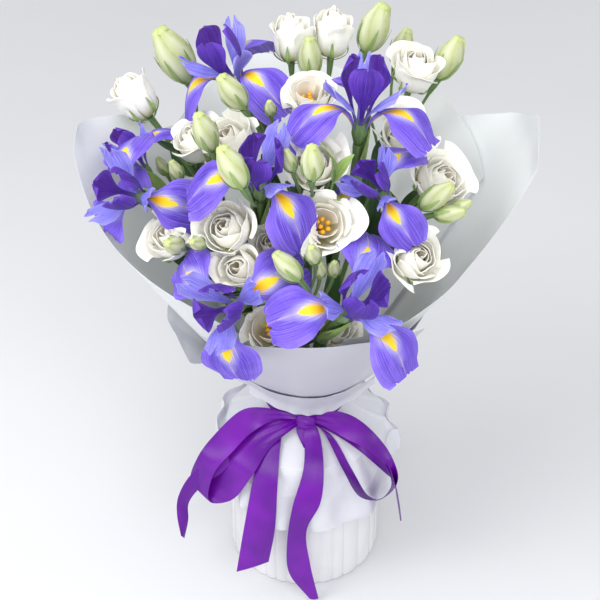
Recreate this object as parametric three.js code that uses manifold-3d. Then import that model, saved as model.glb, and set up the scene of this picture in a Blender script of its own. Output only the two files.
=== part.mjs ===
// A bouquet of Dutch irises and white lisianthus standing in a pleated white vase. The stems run
// from the water through one tie point and fan out to the flowers. Frosted film sheets make a bowl
// round the flowers, white paper is gathered at the tie and hangs over the vase as a skirt, and a
// satin ribbon is tied in a bow round the neck. Millimetres, +Z up. The origin is the middle of the
// vase's underside, and -Y is the front.
import * as THREE from "three";
import { mergeVertices } from "three/addons/utils/BufferGeometryUtils.js";
import Module from "manifold-3d";

const wasm = await Module();
wasm.setup();

// ---------------------------------------------------------------- driving dimensions

const CLEARANCE = 0.35; // gap kept between two separate pieces that would touch
const PETAL_THICKNESS = 0.8;
const LEAF_THICKNESS = 0.9;
const SHEET_THICKNESS = 0.8;

const VASE = { radius: 72, height: 150, wall: 6, floor: 8, pleats: 30, pleatDepth: 2 };
const BORE_TAPER = 1; // the bore is this much narrower at the floor than at the mouth
const WATER = { top: 96, gap: 0.4 };
const TIE_HEIGHT = 195; // where all the stems are held together
const STEM_FOOT = 12; // height of the cut stem ends inside the vase
const FOOT_SPREAD = 2.7; // how much wider the stems stand on the vase floor than in the tie
const FOOT_TWIST = 50; // degrees that the stems turn round each other below the tie
const RING_RADII = [0, 8.5, 17]; // stem places in the tie: one, six, and the rest
const STEM_SHARES = [0, 0.25, 0.5, 0.75, 0.93]; // where a stem's line is sampled above the tie
const IRIS_STEM = 3; // radii of the stems, the spray's branches and the flowers' seats
const SPRAY_STEM = 2.4;
const BRANCH = 1.3;
const CALYX = 3.2;
const SPATHE = 4.4;
const IRIS_LEAF = { from: 0.42, turn: 150, length: 120, halfWidth: 8, steps: 4 };
const SPRAY_LEAF = { from: 0.5, turn: 60, length: 52, halfWidth: 12, steps: 3 };

// The bowl of wrapping sheets: its radius grows from the neck to the rim.
const BOWL = { neck: 26, bottom: 196, rim: 184, top: 440, power: 0.9 };

// Each flower's place is given from the tie: azimuth (0 is +X, -90 the front), lean from upright,
// and reach. "faces" is the azimuth and lean of its axis. Degrees and millimetres.
const IRISES = [
  { at: [134.5, 15.5, 284], faces: [-160, 24], firstFall: -50, size: 1.08, droop: 0.9 },
  { at: [-43.5, 11.5, 294], faces: [-12, 4], firstFall: -28, size: 1.1, droop: 0.4 },
  { at: [171.5, 32.5, 253], faces: [-173, 34], firstFall: 27, size: 0.78, droop: 0.4 },
  { at: [-165.8, 31.4, 260], faces: [-120, 52], firstFall: -26, size: 1.05, droop: 0.9 },
  { at: [-112.2, 19.7, 278], faces: [-84, 25], firstFall: -56, size: 1.08, droop: 0.9 },
  { at: [-51, 22, 271], faces: [-125, 38], firstFall: 178, size: 0.88, droop: 0.9 },
  { at: [-112.5, 36.8, 229], faces: [-109, 57], firstFall: -105, size: 1.15, droop: 0.9 },
  { at: [-78.5, 38.4, 235], faces: [-62, 37], firstFall: 86, size: 1.15, droop: 0.22 },
];

// Sprays of lisianthus. The first head ends the main stem and each other head branches off it at
// the share "fork" of its length. A bloom has a radius and an openness from 0 (goblet) to 1.
const SPRAYS = [
  [
    { bloom: true, at: [85.1, 5.1, 282], faces: [-90, 20], radius: 22, height: 36, open: 0.5 },
    { bloom: true, at: [97.9, 16.2, 318], faces: [100, 4], radius: 19, height: 42, open: 0.1, fork: 0.5 },
    { bloom: true, at: [76.8, 18.3, 321], faces: [60, 6], radius: 19, height: 44, open: 0.05, fork: 0.4 },
    { bloom: false, at: [86.4, 11.6, 308], faces: [100, 4], length: 36, fork: 0.6 },
  ],
  [
    { bloom: true, at: [39.0, 23.2, 306], faces: [-50, 16], radius: 23, height: 38, open: 0.45 },
    { bloom: false, at: [58.7, 20.2, 331], faces: [10, 21], length: 46, fork: 0.6 },
    { bloom: false, at: [56.2, 29.1, 316], faces: [20, 18], length: 35, fork: 0.7 },
    { bloom: false, at: [38.2, 29.4, 323], faces: [15, 27], length: 42, fork: 0.5 },
    { bloom: true, at: [2.7, 17.6, 273], faces: [-60, 30], radius: 25, height: 34, open: 0.8, fork: 0.4 },
  ],
  [
    { bloom: true, at: [-22.7, 25.6, 272], faces: [-40, 42], radius: 26, height: 34, open: 0.9 },
    { bloom: false, at: [-37.9, 27.2, 286], faces: [0, 50], length: 32, fork: 0.6 },
    { bloom: false, at: [-36.8, 30.5, 280], faces: [-12, 76], length: 25, fork: 0.5 },
    { bloom: false, at: [-32.6, 30.8, 284], faces: [2, 66], length: 19, fork: 0.55 },
    { bloom: true, at: [-51.2, 32.7, 254], faces: [-62, 46], radius: 23, height: 34, open: 0.7, fork: 0.4 },
  ],
  [
    { bloom: true, at: [151.6, 33.7, 303], faces: [175, 34], radius: 20, height: 44, open: 0.25 },
    { bloom: false, at: [140.8, 26.9, 322], faces: [176, 26], length: 56, fork: 0.65 },
    { bloom: false, at: [-146.7, 17.7, 311], faces: [-170, 16], length: 36, fork: 0.55 },
    { bloom: true, at: [168.8, 20.9, 262], faces: [-160, 28], radius: 22, height: 34, open: 0.6, fork: 0.45 },
  ],
  [
    { bloom: true, at: [-148.4, 32.1, 243], faces: [-140, 36], radius: 23, height: 30, open: 0.8 },
    { bloom: false, at: [-136.2, 33, 264], faces: [-120, 52], length: 26, fork: 0.6 },
    { bloom: false, at: [-125.5, 31.6, 277], faces: [-120, 50], length: 20, fork: 0.7 },
    { bloom: false, at: [-170.4, 24.3, 263], faces: [-170, 20], length: 20, fork: 0.5 },
    { bloom: false, at: [165.8, 30.7, 248], faces: [180, 24], length: 18, fork: 0.55 },
  ],
  [
    { bloom: true, at: [-84.4, 14.9, 289], faces: [-88, 36], radius: 24, height: 32, open: 0.85 },
    { bloom: false, at: [-97.2, 18.7, 317], faces: [180, 14], length: 20, fork: 0.7 },
    { bloom: false, at: [-87.7, 20.4, 327], faces: [-90, 6], length: 32, fork: 0.75 },
    { bloom: true, at: [-83.3, 23.8, 267], faces: [-78, 48], radius: 25, height: 30, open: 1.0, fork: 0.5 },
    { bloom: false, at: [-164.8, 5.8, 294], faces: [-100, 20], length: 17, fork: 0.6 },
    { bloom: true, at: [-107.8, 22.7, 228], faces: [-100, 40], radius: 17, height: 26, open: 0.4, fork: 0.4 },
  ],
  [
    { bloom: true, at: [-162.2, 13.3, 274], faces: [-120, 30], radius: 24, height: 36, open: 0.5 },
    { bloom: false, at: [-113.6, 23.9, 339], faces: [178, 24], length: 38, fork: 0.7 },
    { bloom: true, at: [-121.7, 26.3, 262], faces: [-112, 40], radius: 23, height: 34, open: 0.5, fork: 0.45 },
    { bloom: false, at: [-167.2, 11, 316], faces: [-170, 30], length: 36, fork: 0.7 },
    { bloom: true, at: [-114.4, 30.9, 244], faces: [-110, 50], radius: 22, height: 28, open: 0.6, fork: 0.3 },
  ],
  [
    { bloom: true, at: [-103.5, 38.9, 195], faces: [-96, 40], radius: 21, height: 30, open: 0.55 },
    { bloom: false, at: [-95.6, 32.1, 276], faces: [170, 40], length: 30, fork: 0.6 },
    { bloom: false, at: [-87.8, 30.3, 280], faces: [-110, 24], length: 22, fork: 0.65 },
    { bloom: false, at: [-85.1, 30.7, 254], faces: [-90, 20], length: 17, fork: 0.6 },
    { bloom: false, at: [-80.1, 30.4, 252], faces: [-80, 20], length: 18, fork: 0.55 },
    { bloom: true, at: [-77.0, 37.3, 176], faces: [-74, 44], radius: 20, height: 26, open: 0.5, fork: 0.4 },
  ],
];

// Wrapping sheets. Each covers a stretch of azimuth, in steps of FOLD from +X. The heights of its
// upper and lower edges, and how far its upper part stands out from the bowl, are given at even
// steps of that stretch. Its foot stands "footOut" from the bowl.
const FOLD = 360 / 28;
const ROW_CROWDING = 1.6; // the rows of a sheet lie closer together towards the neck
const SHEETS = {
  wrap_film_back: {
    from: 1,
    to: 13,
    out: [0, 0],
    footOut: 0,
    top: [395, 425, 424, 440, 402, 415],
    foot: [200, 200],
  },
  wrap_film_left: {
    from: 11,
    to: 23,
    out: [3.4, 8, 14, 6, 3.4, 3.4],
    footOut: 3.4,
    top: [415, 452, 397, 366, 316, 318],
    foot: [200, 200],
  },
  wrap_film_right: {
    from: -6,
    to: 4,
    out: [6.8, 6.8],
    footOut: 6.8,
    top: [348, 344, 362, 476, 431, 392],
    foot: [200, 200],
  },
  wrap_collar: {
    from: -10,
    to: -3,
    out: [18, 18],
    footOut: 11.3,
    top: [330, 346, 352, 352, 345, 318],
    foot: [236, 218, 210, 212, 220, 236],
  },
  wrap_cuff: {
    from: -10,
    to: -3,
    out: [18.1, 18.1],
    footOut: 24,
    top: [258, 248, 240, 237, 246, 256],
    foot: [232, 206, 196, 200, 232],
  },
};

// The white paper: its upper part stands round the bowl, with a corner turned out at the left, and
// its skirt hangs over the vase. The rim and hem heights and the rim's flare are given at even
// azimuths from 0.
const PAPER = {
  out: 11,
  rim: [318, 330, 300, 296, 300, 310, 284, 264, 300, 306, 300, 300],
  flare: [0, 0, 0, 0, 0, 4, 22, 28, 0, 0, 0, 3],
  hem: [112, 120, 124, 124, 126, 132, 138, 116, 94, 86, 85, 92],
  neck: [34, 190],
  skirt: [[34, 176], [56, 160.5], [73.4, 150.6], [82, 125], [85, 90]],
  pleats: 14,
  pleatDepth: 3,
};

const RIBBON = {
  thickness: 0.8,
  band: [178, 189], // the band's lower and upper edge
  bandRadius: 36.4,
  bandThickness: 2,
  knot: [9.5, 8, 9.5], // half sizes of the knot
  knotAt: [1, -43.4, 186],
};

// The bow's strips of ribbon, each as stations along it: azimuth, height and distance from the
// skirt of one edge, then of the other. All of them are gathered in the knot at the front.
const RIBBON_STRIPS = {
  leftLoop: [
    [-95, 191, 9, -93, 185, 9], [-141, 190, 16, -129, 178, 14], [-164, 173, 24, -139, 169, 20],
    [-159, 161, 30, -140, 158, 24], [-154, 147, 33, -143, 137, 26], [-157, 111, 32, -143, 105, 26],
    [-151, 118, 22, -134, 111, 15], [-146, 147, 14, -123, 145, 12], [-143, 164, 9, -119, 163, 11],
    [-93, 188, 9, -92, 183, 9],
  ],
  leftOuterTail: [
    [-95, 187, 8, -93, 184, 8], [-150, 168, 9, -136, 163, 8], [-149, 145, 22, -142, 136, 17],
    [-153, 128, 36, -151, 111, 28], [-155, 100, 46, -154, 90, 36], [-154, 80, 48, -153, 72, 38],
    [-151, 59, 48, -152, 52, 44],
  ],
  leftTail: [
    [-97, 187, 8, -88, 187, 8], [-126, 168, 7, -114, 171, 7], [-127, 159, 8, -112, 163, 7],
    [-123, 141, 9, -107, 142, 8], [-123, 99, 16, -107, 94, 9], [-126, 36, 24, -111, 49, 9],
  ],
  middleLoop: [[-95, 188, 8, -88, 188, 8], [-100, 174, 8, -81, 175, 8], [-91, 164, 7, -79, 165, 7]],
  rightTail: [
    [-94, 187, 10, -84, 187, 10], [-91, 173, 11, -75, 174, 11], [-91, 155, 9, -77, 155, 9],
    [-97, 123, 9, -81, 128, 10], [-100, 80, 9, -89, 96, 9], [-99, 38, 8, -87, 52, 8],
    [-87, 4, 8, -82, 4, 8],
  ],
  rightLoop: [
    [-86, 191, 9, -87, 185, 9], [-66, 198, 16, -68, 179, 14], [-43, 187, 24, -54, 169, 18],
    [-34, 169, 32, -45, 161, 24], [-37, 156, 34, -42, 150, 24], [-40, 139, 33, -37, 130, 18],
    [-46, 133, 34, -32, 106, 10], [-56, 134, 34, -40, 103, 9], [-63, 140, 30, -51, 118, 9],
    [-66, 155, 18, -59, 150, 8], [-70, 173, 10, -62, 168, 7], [-86, 187, 9, -86, 183, 9],
  ],
  rightOuterTail: [
    [-86, 188, 8, -87, 184, 8], [-42, 164, 12, -50, 161, 8], [-41, 150, 26, -37, 131, 13],
    [-43, 139, 33, -32, 117, 14], [-45, 124, 38, -33, 97, 18], [-45, 102, 40, -35, 77, 24],
  ],
};

// ---------------------------------------------------------------- materials

const paint = (color, roughness, extra = {}) =>
  new THREE.MeshStandardMaterial({ color, roughness, ...extra });
const MATERIALS = {
  vase: paint(0xf2f2f0, 0.35),
  water: paint(0xdfeef2, 0.1, { transparent: true, opacity: 0.4 }),
  iris: paint(0x5a3cc0, 0.6),
  white: paint(0xf4f1ea, 0.6),
  stem: paint(0x5b8a3c, 0.6),
  film: paint(0xd5d8d8, 0.4, { transparent: true, opacity: 0.7 }),
  paper: paint(0xf3f3f5, 0.8),
  ribbon: paint(0x6f12a8, 0.35),
};

// ---------------------------------------------------------------- geometry helpers

const rad = THREE.MathUtils.degToRad;
const lerp = THREE.MathUtils.lerp;
const smooth = THREE.MathUtils.smoothstep;
const up = new THREE.Vector3(0, 0, 1);

// The direction with this azimuth and lean from upright, in degrees.
function direction([azimuth, lean]) {
  const a = rad(azimuth);
  const flat = Math.sin(rad(lean));
  return new THREE.Vector3(flat * Math.cos(a), flat * Math.sin(a), Math.cos(rad(lean)));
}

// A point given as azimuth, lean and reach from the tie.
function fromTie([azimuth, lean, reach]) {
  return direction([azimuth, lean]).multiplyScalar(reach).add(new THREE.Vector3(0, 0, TIE_HEIGHT));
}

// The placing matrix of a flower: its axis is local Z, and local X leans towards the azimuth given.
function placing(origin, axis, azimuth) {
  const x = direction([azimuth, 90]);
  x.addScaledVector(axis, -x.dot(axis)).normalize();
  const y = new THREE.Vector3().crossVectors(axis, x);
  return new THREE.Matrix4().makeBasis(x, y, axis).setPosition(origin);
}

// The value at t (0 to 1) of a smooth line through even steps of a list.
function along(values, t) {
  const x = THREE.MathUtils.clamp(t, 0, 1) * (values.length - 1);
  const i = Math.min(Math.floor(x), values.length - 2);
  return lerp(values[i], values[i + 1], smooth(x - i, 0, 1));
}

function toSolid(geometry) {
  const bare = new THREE.BufferGeometry().setAttribute("position", geometry.getAttribute("position"));
  if (geometry.index) bare.setIndex(geometry.index);
  const merged = mergeVertices(bare, 1e-4);
  return new wasm.Manifold(
    new wasm.Mesh({
      numProp: 3,
      vertProperties: merged.attributes.position.array,
      triVerts: new Uint32Array(merged.index.array),
    }),
  );
}

function fromGrid(points, faces) {
  const geometry = new THREE.BufferGeometry();
  const values = points.flatMap((p) => [p.x, p.y, p.z]);
  geometry.setAttribute("position", new THREE.Float32BufferAttribute(values, 3));
  return toSolid(geometry.setIndex(faces));
}

// A thin closed slab on the surface at(u, v), with u and v from 0 to 1. Both faces are cut into
// triangles alike. It is widened by "grow" all round for cutting its neighbours clear of it.
function slab(at, stepsU, stepsV, thickness, grow = 0, ring = false) {
  const points = [];
  const rows = stepsU + 1;
  const columns = ring ? stepsV : stepsV + 1;
  const half = thickness / 2 + grow;
  const small = 1e-3;
  for (const side of [1, -1])
    for (let i = 0; i < rows; i++)
      for (let j = 0; j < columns; j++) {
        const u = i / stepsU;
        const v = j / stepsV;
        const p = at(u, v);
        const uSign = u < 0.5 ? 1 : -1;
        const vSign = v < 0.5 ? 1 : -1;
        const alongU = at(u + uSign * small, v).sub(p).multiplyScalar(uSign);
        const alongV = at(u, v + vSign * small).sub(p).multiplyScalar(vSign);
        const normal = new THREE.Vector3().crossVectors(alongU, alongV).normalize();
        const endU = i === 0 ? -grow : i === stepsU ? grow : 0;
        const endV = ring ? 0 : j === 0 ? -grow : j === stepsV ? grow : 0;
        p.addScaledVector(alongU.normalize(), endU);
        p.addScaledVector(alongV.normalize(), endV);
        points.push(p.addScaledVector(normal, side * half));
      }
  const top = (i, j) => i * columns + (j % columns);
  const bottom = (i, j) => rows * columns + top(i, j);
  const faces = [];
  const quad = (a, b, c, d) => faces.push(a, b, c, a, c, d);
  for (let i = 0; i < stepsU; i++)
    for (let j = 0; j < stepsV; j++) {
      quad(top(i, j), top(i + 1, j), top(i + 1, j + 1), top(i, j + 1));
      faces.push(bottom(i, j), bottom(i + 1, j + 1), bottom(i + 1, j));
      faces.push(bottom(i, j), bottom(i, j + 1), bottom(i + 1, j + 1));
    }
  for (let j = 0; j < stepsV; j++) {
    quad(top(0, j), top(0, j + 1), bottom(0, j + 1), bottom(0, j));
    quad(top(stepsU, j + 1), top(stepsU, j), bottom(stepsU, j), bottom(stepsU, j + 1));
  }
  for (let i = 0; i < stepsU && !ring; i++) {
    quad(top(i + 1, 0), top(i, 0), bottom(i, 0), bottom(i + 1, 0));
    quad(top(i, stepsV), top(i + 1, stepsV), bottom(i + 1, stepsV), bottom(i, stepsV));
  }
  const made = fromGrid(points, faces);
  return made.volume() < 0 ? fromGrid(points, flipped(faces)) : made;
}

function flipped(faces) {
  const turned = [];
  for (let i = 0; i < faces.length; i += 3) turned.push(faces[i], faces[i + 2], faces[i + 1]);
  return turned;
}

// A whorl of petals that grow out of one point. Each petal is a surface at(u, v) with u = 0 at that
// point, two columns wide, and the petals are free of each other above their first row.
function whorl(petals, thickness, grow = 0) {
  const points = [];
  const faces = [];
  const half = thickness / 2 + grow;
  const sides = [1, -1];
  const under = 0;
  const over = 1;
  const centre = petals[0].at(0, 0.5);
  const first = petals.map(({ at, rows }) => at(rows[0], 0.5));
  const middle = first.reduce((sum, p) => sum.add(p), new THREE.Vector3()).divideScalar(first.length);
  const lift = middle.sub(centre).normalize().multiplyScalar(half);
  points.push(centre.clone().sub(lift), centre.clone().add(lift));
  const vertex = (at, u, v, last) => {
    const small = 1e-3;
    const uSign = u < 0.5 ? 1 : -1;
    const vSign = v < 0.5 ? 1 : -1;
    const p = at(u, v);
    const alongU = at(u + uSign * small, v).sub(p).multiplyScalar(uSign).normalize();
    const alongV = at(u, v + vSign * small).sub(p).multiplyScalar(vSign).normalize();
    const normal = new THREE.Vector3().crossVectors(alongV, alongU).normalize();
    if (last) p.addScaledVector(alongU, grow);
    if (v !== 0.5) p.addScaledVector(alongV, v < 0.5 ? -grow : grow);
    return sides.map((side) => points.push(p.clone().addScaledVector(normal, side * half)) - 1);
  };
  const meanOf = (a, b) =>
    sides.map((_, k) => points.push(points[a[k]].clone().add(points[b[k]]).divideScalar(2)) - 1);
  const count = petals.length;
  const bases = petals.map(({ at, rows }) => [0, 0.5, 1].map((v) => vertex(at, rows[0], v, false)));
  const seams = bases.map((base, i) => meanOf(base[2], bases[(i + 1) % count][0]));
  petals.forEach(({ at, rows }, i) => {
    const lines = [[seams[(i + count - 1) % count], bases[i][1], seams[i]]];
    rows.slice(1).forEach((u, n) => {
      const isLast = n === rows.length - 2;
      lines.push([0, 0.5, 1].map((v) => vertex(at, u, v, isLast)));
    });
    for (let j = 0; j < 2; j++) {
      faces.push(under, lines[0][j + 1][under], lines[0][j][under]);
      faces.push(over, lines[0][j][over], lines[0][j + 1][over]);
    }
    for (let n = 0; n < lines.length - 1; n++) {
      const [low, high] = [lines[n], lines[n + 1]];
      for (let j = 0; j < 2; j++) {
        faces.push(low[j][0], low[j + 1][0], high[j + 1][0], low[j][0], high[j + 1][0], high[j][0]);
        faces.push(low[j][1], high[j + 1][1], low[j + 1][1], low[j][1], high[j][1], high[j + 1][1]);
      }
      faces.push(low[0][0], high[0][0], high[0][1], low[0][0], high[0][1], low[0][1]);
      faces.push(low[2][0], high[2][1], high[2][0], low[2][0], low[2][1], high[2][1]);
    }
    const end = lines[lines.length - 1];
    for (let j = 0; j < 2; j++) {
      faces.push(end[j][0], end[j + 1][0], end[j + 1][1]);
      faces.push(end[j][0], end[j + 1][1], end[j][1]);
    }
  });
  return fromGrid(points, faces);
}

// A closed tube of a few sides through stations of [centre, radius], with flat ends.
function tube(stations, sides, grow = 0) {
  const points = [];
  const faces = [];
  const side = new THREE.Vector3(1, 0, 0);
  const last = stations.length - 1;
  stations.forEach(([centre, radius], i) => {
    const before = stations[Math.max(i - 1, 0)][0];
    const after = stations[Math.min(i + 1, last)][0];
    const tangent = after.clone().sub(before).normalize();
    const lengthen = i === 0 ? -grow : i === last ? grow : 0;
    side.addScaledVector(tangent, -side.dot(tangent)).normalize();
    const other = new THREE.Vector3().crossVectors(tangent, side);
    const r = radius + grow;
    for (let k = 0; k < sides; k++) {
      const a = (2 * Math.PI * k) / sides;
      const p = centre.clone().addScaledVector(tangent, lengthen);
      points.push(p.addScaledVector(side, r * Math.cos(a)).addScaledVector(other, r * Math.sin(a)));
    }
  });
  const at = (i, k) => i * sides + (k % sides);
  for (let i = 0; i < last; i++)
    for (let k = 0; k < sides; k++) {
      faces.push(at(i, k), at(i, k + 1), at(i + 1, k + 1));
      faces.push(at(i, k), at(i + 1, k + 1), at(i + 1, k));
    }
  for (let k = 1; k < sides - 1; k++) {
    faces.push(at(0, 0), at(0, k + 1), at(0, k));
    faces.push(at(last, 0), at(last, k), at(last, k + 1));
  }
  return fromGrid(points, faces);
}

// A closed solid of revolution from a profile of [radius, height] that starts and ends on the axis.
function turned(profile, sides, matrix) {
  const geometry = new THREE.LatheGeometry(
    profile.map(([r, z]) => new THREE.Vector2(r, z)),
    sides,
  );
  geometry.rotateX(Math.PI / 2);
  if (matrix) geometry.applyMatrix4(matrix);
  const made = toSolid(geometry);
  if (made.volume() > 0) return made;
  const mesh = made.getMesh();
  return new wasm.Manifold(
    new wasm.Mesh({
      numProp: 3,
      vertProperties: mesh.vertProperties,
      triVerts: new Uint32Array(flipped([...mesh.triVerts])),
    }),
  );
}

// The profile of a turned solid, made larger by "grow" all round.
function widened(profile, grow) {
  const last = profile.length - 1;
  return profile.map(([r, z], i) => [r && r + grow, z + (i < 2 ? -grow : i > last - 2 ? grow : 0)]);
}

function joined(solids) {
  return solids.slice(1).reduce((sum, next) => sum.add(next), solids[0]);
}

function largest(solid) {
  const bodies = solid.decompose();
  return bodies.reduce((best, body) => (body.volume() > best.volume() ? body : best), bodies[0]);
}

// ---------------------------------------------------------------- petals

// A strap-like petal in a flower's own frame. Its spine is a cubic Bezier curve of [out, up] points
// in the plane of its azimuth. "lift" raises its edges (or lowers them where it is negative).
function strapPetal(matrix, azimuth, spine, halfWidth, lift, notch = 0) {
  const curve = new THREE.CubicBezierCurve(...spine.map(([r, z]) => new THREE.Vector2(r, z)));
  const turn = new THREE.Matrix4().makeRotationZ(rad(azimuth));
  return (u, v) => {
    const s = 2 * v - 1;
    const reach = u * (1 - notch * (1 - Math.abs(s)) * u ** 6);
    const centre = curve.getPoint(reach);
    const tangent = curve.getTangent(reach);
    const rise = lift(u, s);
    const out = centre.x - tangent.y * rise;
    const high = centre.y + tangent.x * rise;
    return new THREE.Vector3(out, s * halfWidth(u), high).applyMatrix4(turn).applyMatrix4(matrix);
  };
}

// A petal that wraps round the flower's axis, one edge outside and the other inside its neighbours.
function cupPetal(matrix, azimuth, spine, halfAngle, overlap) {
  const curve = new THREE.CubicBezierCurve(...spine.map(([r, z]) => new THREE.Vector2(r, z)));
  return (u, v) => {
    const s = 2 * v - 1;
    const centre = curve.getPoint(u * (1 - CUP.rounding * s * s));
    const a = rad(azimuth + halfAngle * s * (0.55 + 0.45 * Math.sqrt(Math.max(u, 0))));
    const r = centre.x + overlap * s * u + CUP.wave * u ** 3 * Math.cos(3 * Math.PI * s);
    return new THREE.Vector3(r * Math.cos(a), r * Math.sin(a), centre.y).applyMatrix4(matrix);
  };
}

// ---------------------------------------------------------------- irises

// An iris of size 1 in its own frame, in millimetres: spines as [out, up], half widths and lifts.
const IRIS = {
  tube: [[0, -9], [3.2, -9], [6, 1], [5.2, 9], [0, 9]],
  // The fall: a narrow haft that rises, and a broad blade that arches over.
  fall: (droop) => [[4.2, 2.5], [15, 28], [34, 44 - 4 * droop], [61 - 9 * droop, 20 - 30 * droop]],
  fallWidth: (u) => lerp(2.2, 20.5, smooth(u, 0.24, 0.66)) * Math.sqrt(1 - 0.68 * smooth(u, 0.8, 1)),
  fallLift: (u, s) => s * s * smooth(u, 0, 0.25) * lerp(3, -4.5, smooth(u, 0.25, 0.6)),
  // The style arm arches over the haft and ends in an upturned, two-lobed crest.
  style: [[2.6, 6], [7, 31], [23, 37], [32, 50]],
  styleWidth: (u) => lerp(1.6, 9, smooth(u, 0.2, 0.7)) * (1 - 0.25 * smooth(u, 0.8, 1)),
  styleLift: (u, s) => -3 * s * s * smooth(u, 0.1, 0.5),
  // The standard stands upright between two falls.
  standard: [[3.2, 6], [11, 25], [19, 42], [13, 60]],
  standardWidth: (u) => lerp(1.7, 12.5, smooth(u, 0.25, 0.8)) * Math.sqrt(1 - 0.75 * smooth(u, 0.8, 1)),
  standardLift: (u, s) => 3 * s * s * u,
  // Shares of each petal's length at which its rows of vertices stand.
  fallRows: [0.08, 0.3, 0.55, 0.78, 1],
  standardRows: [0.08, 0.4, 0.72, 1],
  styleRows: [0.12, 0.4, 0.75, 1],
};
const BLOOM_SEAT = 9; // length of the perianth tube below the petals of an iris of size 1

function irisBloom(iris, grow) {
  const k = iris.size;
  const matrix = placing(fromTie(iris.at), direction(iris.faces), iris.firstFall);
  matrix.scale(new THREE.Vector3(k, k, k));
  const petal = (azimuth, spine, width, lift, notch, rows) => ({
    at: strapPetal(matrix, azimuth, spine, width, lift, notch),
    rows,
  });
  const { style, standard } = IRIS;
  const fall = IRIS.fall(iris.droop);
  const outside = [];
  const styles = [];
  for (const azimuth of [0, 120, 240]) {
    const between = azimuth + 60;
    outside.push(petal(azimuth, fall, IRIS.fallWidth, IRIS.fallLift, 0.05, IRIS.fallRows));
    outside.push(petal(between, standard, IRIS.standardWidth, IRIS.standardLift, 0.06, IRIS.standardRows));
    styles.push(petal(azimuth, style, IRIS.styleWidth, IRIS.styleLift, 0.3, IRIS.styleRows));
  }
  return joined([
    turned(widened(IRIS.tube, grow / k), 6, matrix),
    whorl(outside, PETAL_THICKNESS, grow),
    whorl(styles, PETAL_THICKNESS, grow),
  ]);
}

// ---------------------------------------------------------------- lisianthus

const CUP = {
  outer: 5, // petals of the outside ring
  inner: 3, // petals of the inside ring, seen where the bloom is open enough
  innerFrom: 0.45,
  arc: 190, // degrees that each petal of a ring of one would span, so that neighbours overlap
  rounding: 0.16, // how much lower a petal's corners are than its tip
  wave: 0.8,
};

function lisianthusBloom(head, grow) {
  const { radius: R, height: H, open } = head;
  const axis = direction(head.faces);
  const matrix = placing(fromTie(head.at).addScaledVector(axis, -0.5 * H), axis, head.at[0]);
  const ring = (count, start, spine, overlap, rows) => {
    const petals = [];
    for (let i = 0; i < count; i++) {
      const azimuth = start + (360 / count) * i;
      petals.push({ at: cupPetal(matrix, azimuth, spine, CUP.arc / count, overlap), rows });
    }
    return whorl(petals, PETAL_THICKNESS, grow);
  };
  const rim = H * (1 - 0.12 * open);
  const outside = [[0, 0.6], [R, 0.04 * H], [0.8 * R, 0.66 * rim], [R * (0.8 + 0.34 * open), rim]];
  const inside = [[0, 0], [0.72 * R, 0.1 * H], [0.5 * R, 0.7 * H], [0.64 * R, 1.02 * H]];
  const parts = [ring(CUP.outer, 18, outside, 1.6, [0.22, 0.62, 1])];
  if (open > CUP.innerFrom) parts.push(ring(CUP.inner, 30, inside, 1.2, [0.3, 0.7, 1]));
  return joined(parts);
}

// A bud's radius and height as shares of its length, from its stalk to its tip.
const BUD_PROFILE = [[0.1, 0.06], [0.25, 0.36], [0.18, 0.74], [0.07, 1]];

// ---------------------------------------------------------------- stems

// Where each stem passes the tie: the most upright one in the middle, six round it, the rest
// outside, each ring filled in order of azimuth so that no two stems cross.
function tiePlaces(plants) {
  const order = [...plants].sort((a, b) => a.at[1] - b.at[1]);
  const rings = [order.slice(0, 1), order.slice(1, 7), order.slice(7)];
  const places = new Map();
  rings.forEach((ring, n) => {
    const sorted = [...ring].sort((a, b) => a.at[0] - b.at[0]);
    const step = 360 / ring.length;
    const first = sorted.reduce((sum, plant, i) => sum + plant.at[0] - i * step, 0) / ring.length;
    sorted.forEach((plant, i) => {
      const a = rad(first + i * step);
      places.set(plant, new THREE.Vector3(Math.cos(a), Math.sin(a), 0).multiplyScalar(RING_RADII[n]));
    });
  });
  return places;
}

// The stem's line above the tie, from its place there to the flower's base.
function stemLine(place, base, axis) {
  const neck = place.clone().setZ(TIE_HEIGHT);
  const length = base.distanceTo(neck);
  const start = base.clone().sub(neck).normalize().add(up).normalize();
  return new THREE.CubicBezierCurve3(
    neck,
    neck.clone().addScaledVector(start, 0.35 * length),
    base.clone().addScaledVector(axis, -0.24 * length),
    base,
  );
}

// A stem from its foot in the water through the tie and up its line, ending in a wider calyx.
function stem(place, line, radius, calyx, grow) {
  const foot = place.clone().multiplyScalar(FOOT_SPREAD);
  foot.applyAxisAngle(up, rad(FOOT_TWIST)).setZ(STEM_FOOT);
  const stations = [[foot, radius]];
  for (const share of STEM_SHARES) stations.push([line.getPoint(share), radius]);
  stations.push([line.getPoint(1), calyx]);
  return tube(stations, 5, grow);
}

// A leaf that leaves its stem's line at the share "from" and arches outwards.
function leaf(line, { from, turn, length, halfWidth, steps }, grow) {
  const base = line.getPoint(from);
  const axis = line.getTangent(from);
  const outward = outwardOf(base, axis, turn);
  const side = new THREE.Vector3().crossVectors(outward, axis).normalize();
  const curve = new THREE.QuadraticBezierCurve3(
    base,
    base.clone().addScaledVector(axis, 0.55 * length).addScaledVector(outward, 0.12 * length),
    base.clone().addScaledVector(axis, 0.9 * length).addScaledVector(outward, 0.42 * length),
  );
  const width = (u) => halfWidth * Math.sin(Math.PI * (0.08 + 0.86 * u)) ** 0.8;
  const at = (u, v) => {
    const s = 2 * v - 1;
    const lifted = outward.clone().multiplyScalar(-0.25 * width(u) * s * s);
    return curve.getPoint(u).addScaledVector(side, s * width(u)).add(lifted);
  };
  return slab(at, steps, 2, LEAF_THICKNESS, grow);
}

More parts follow.
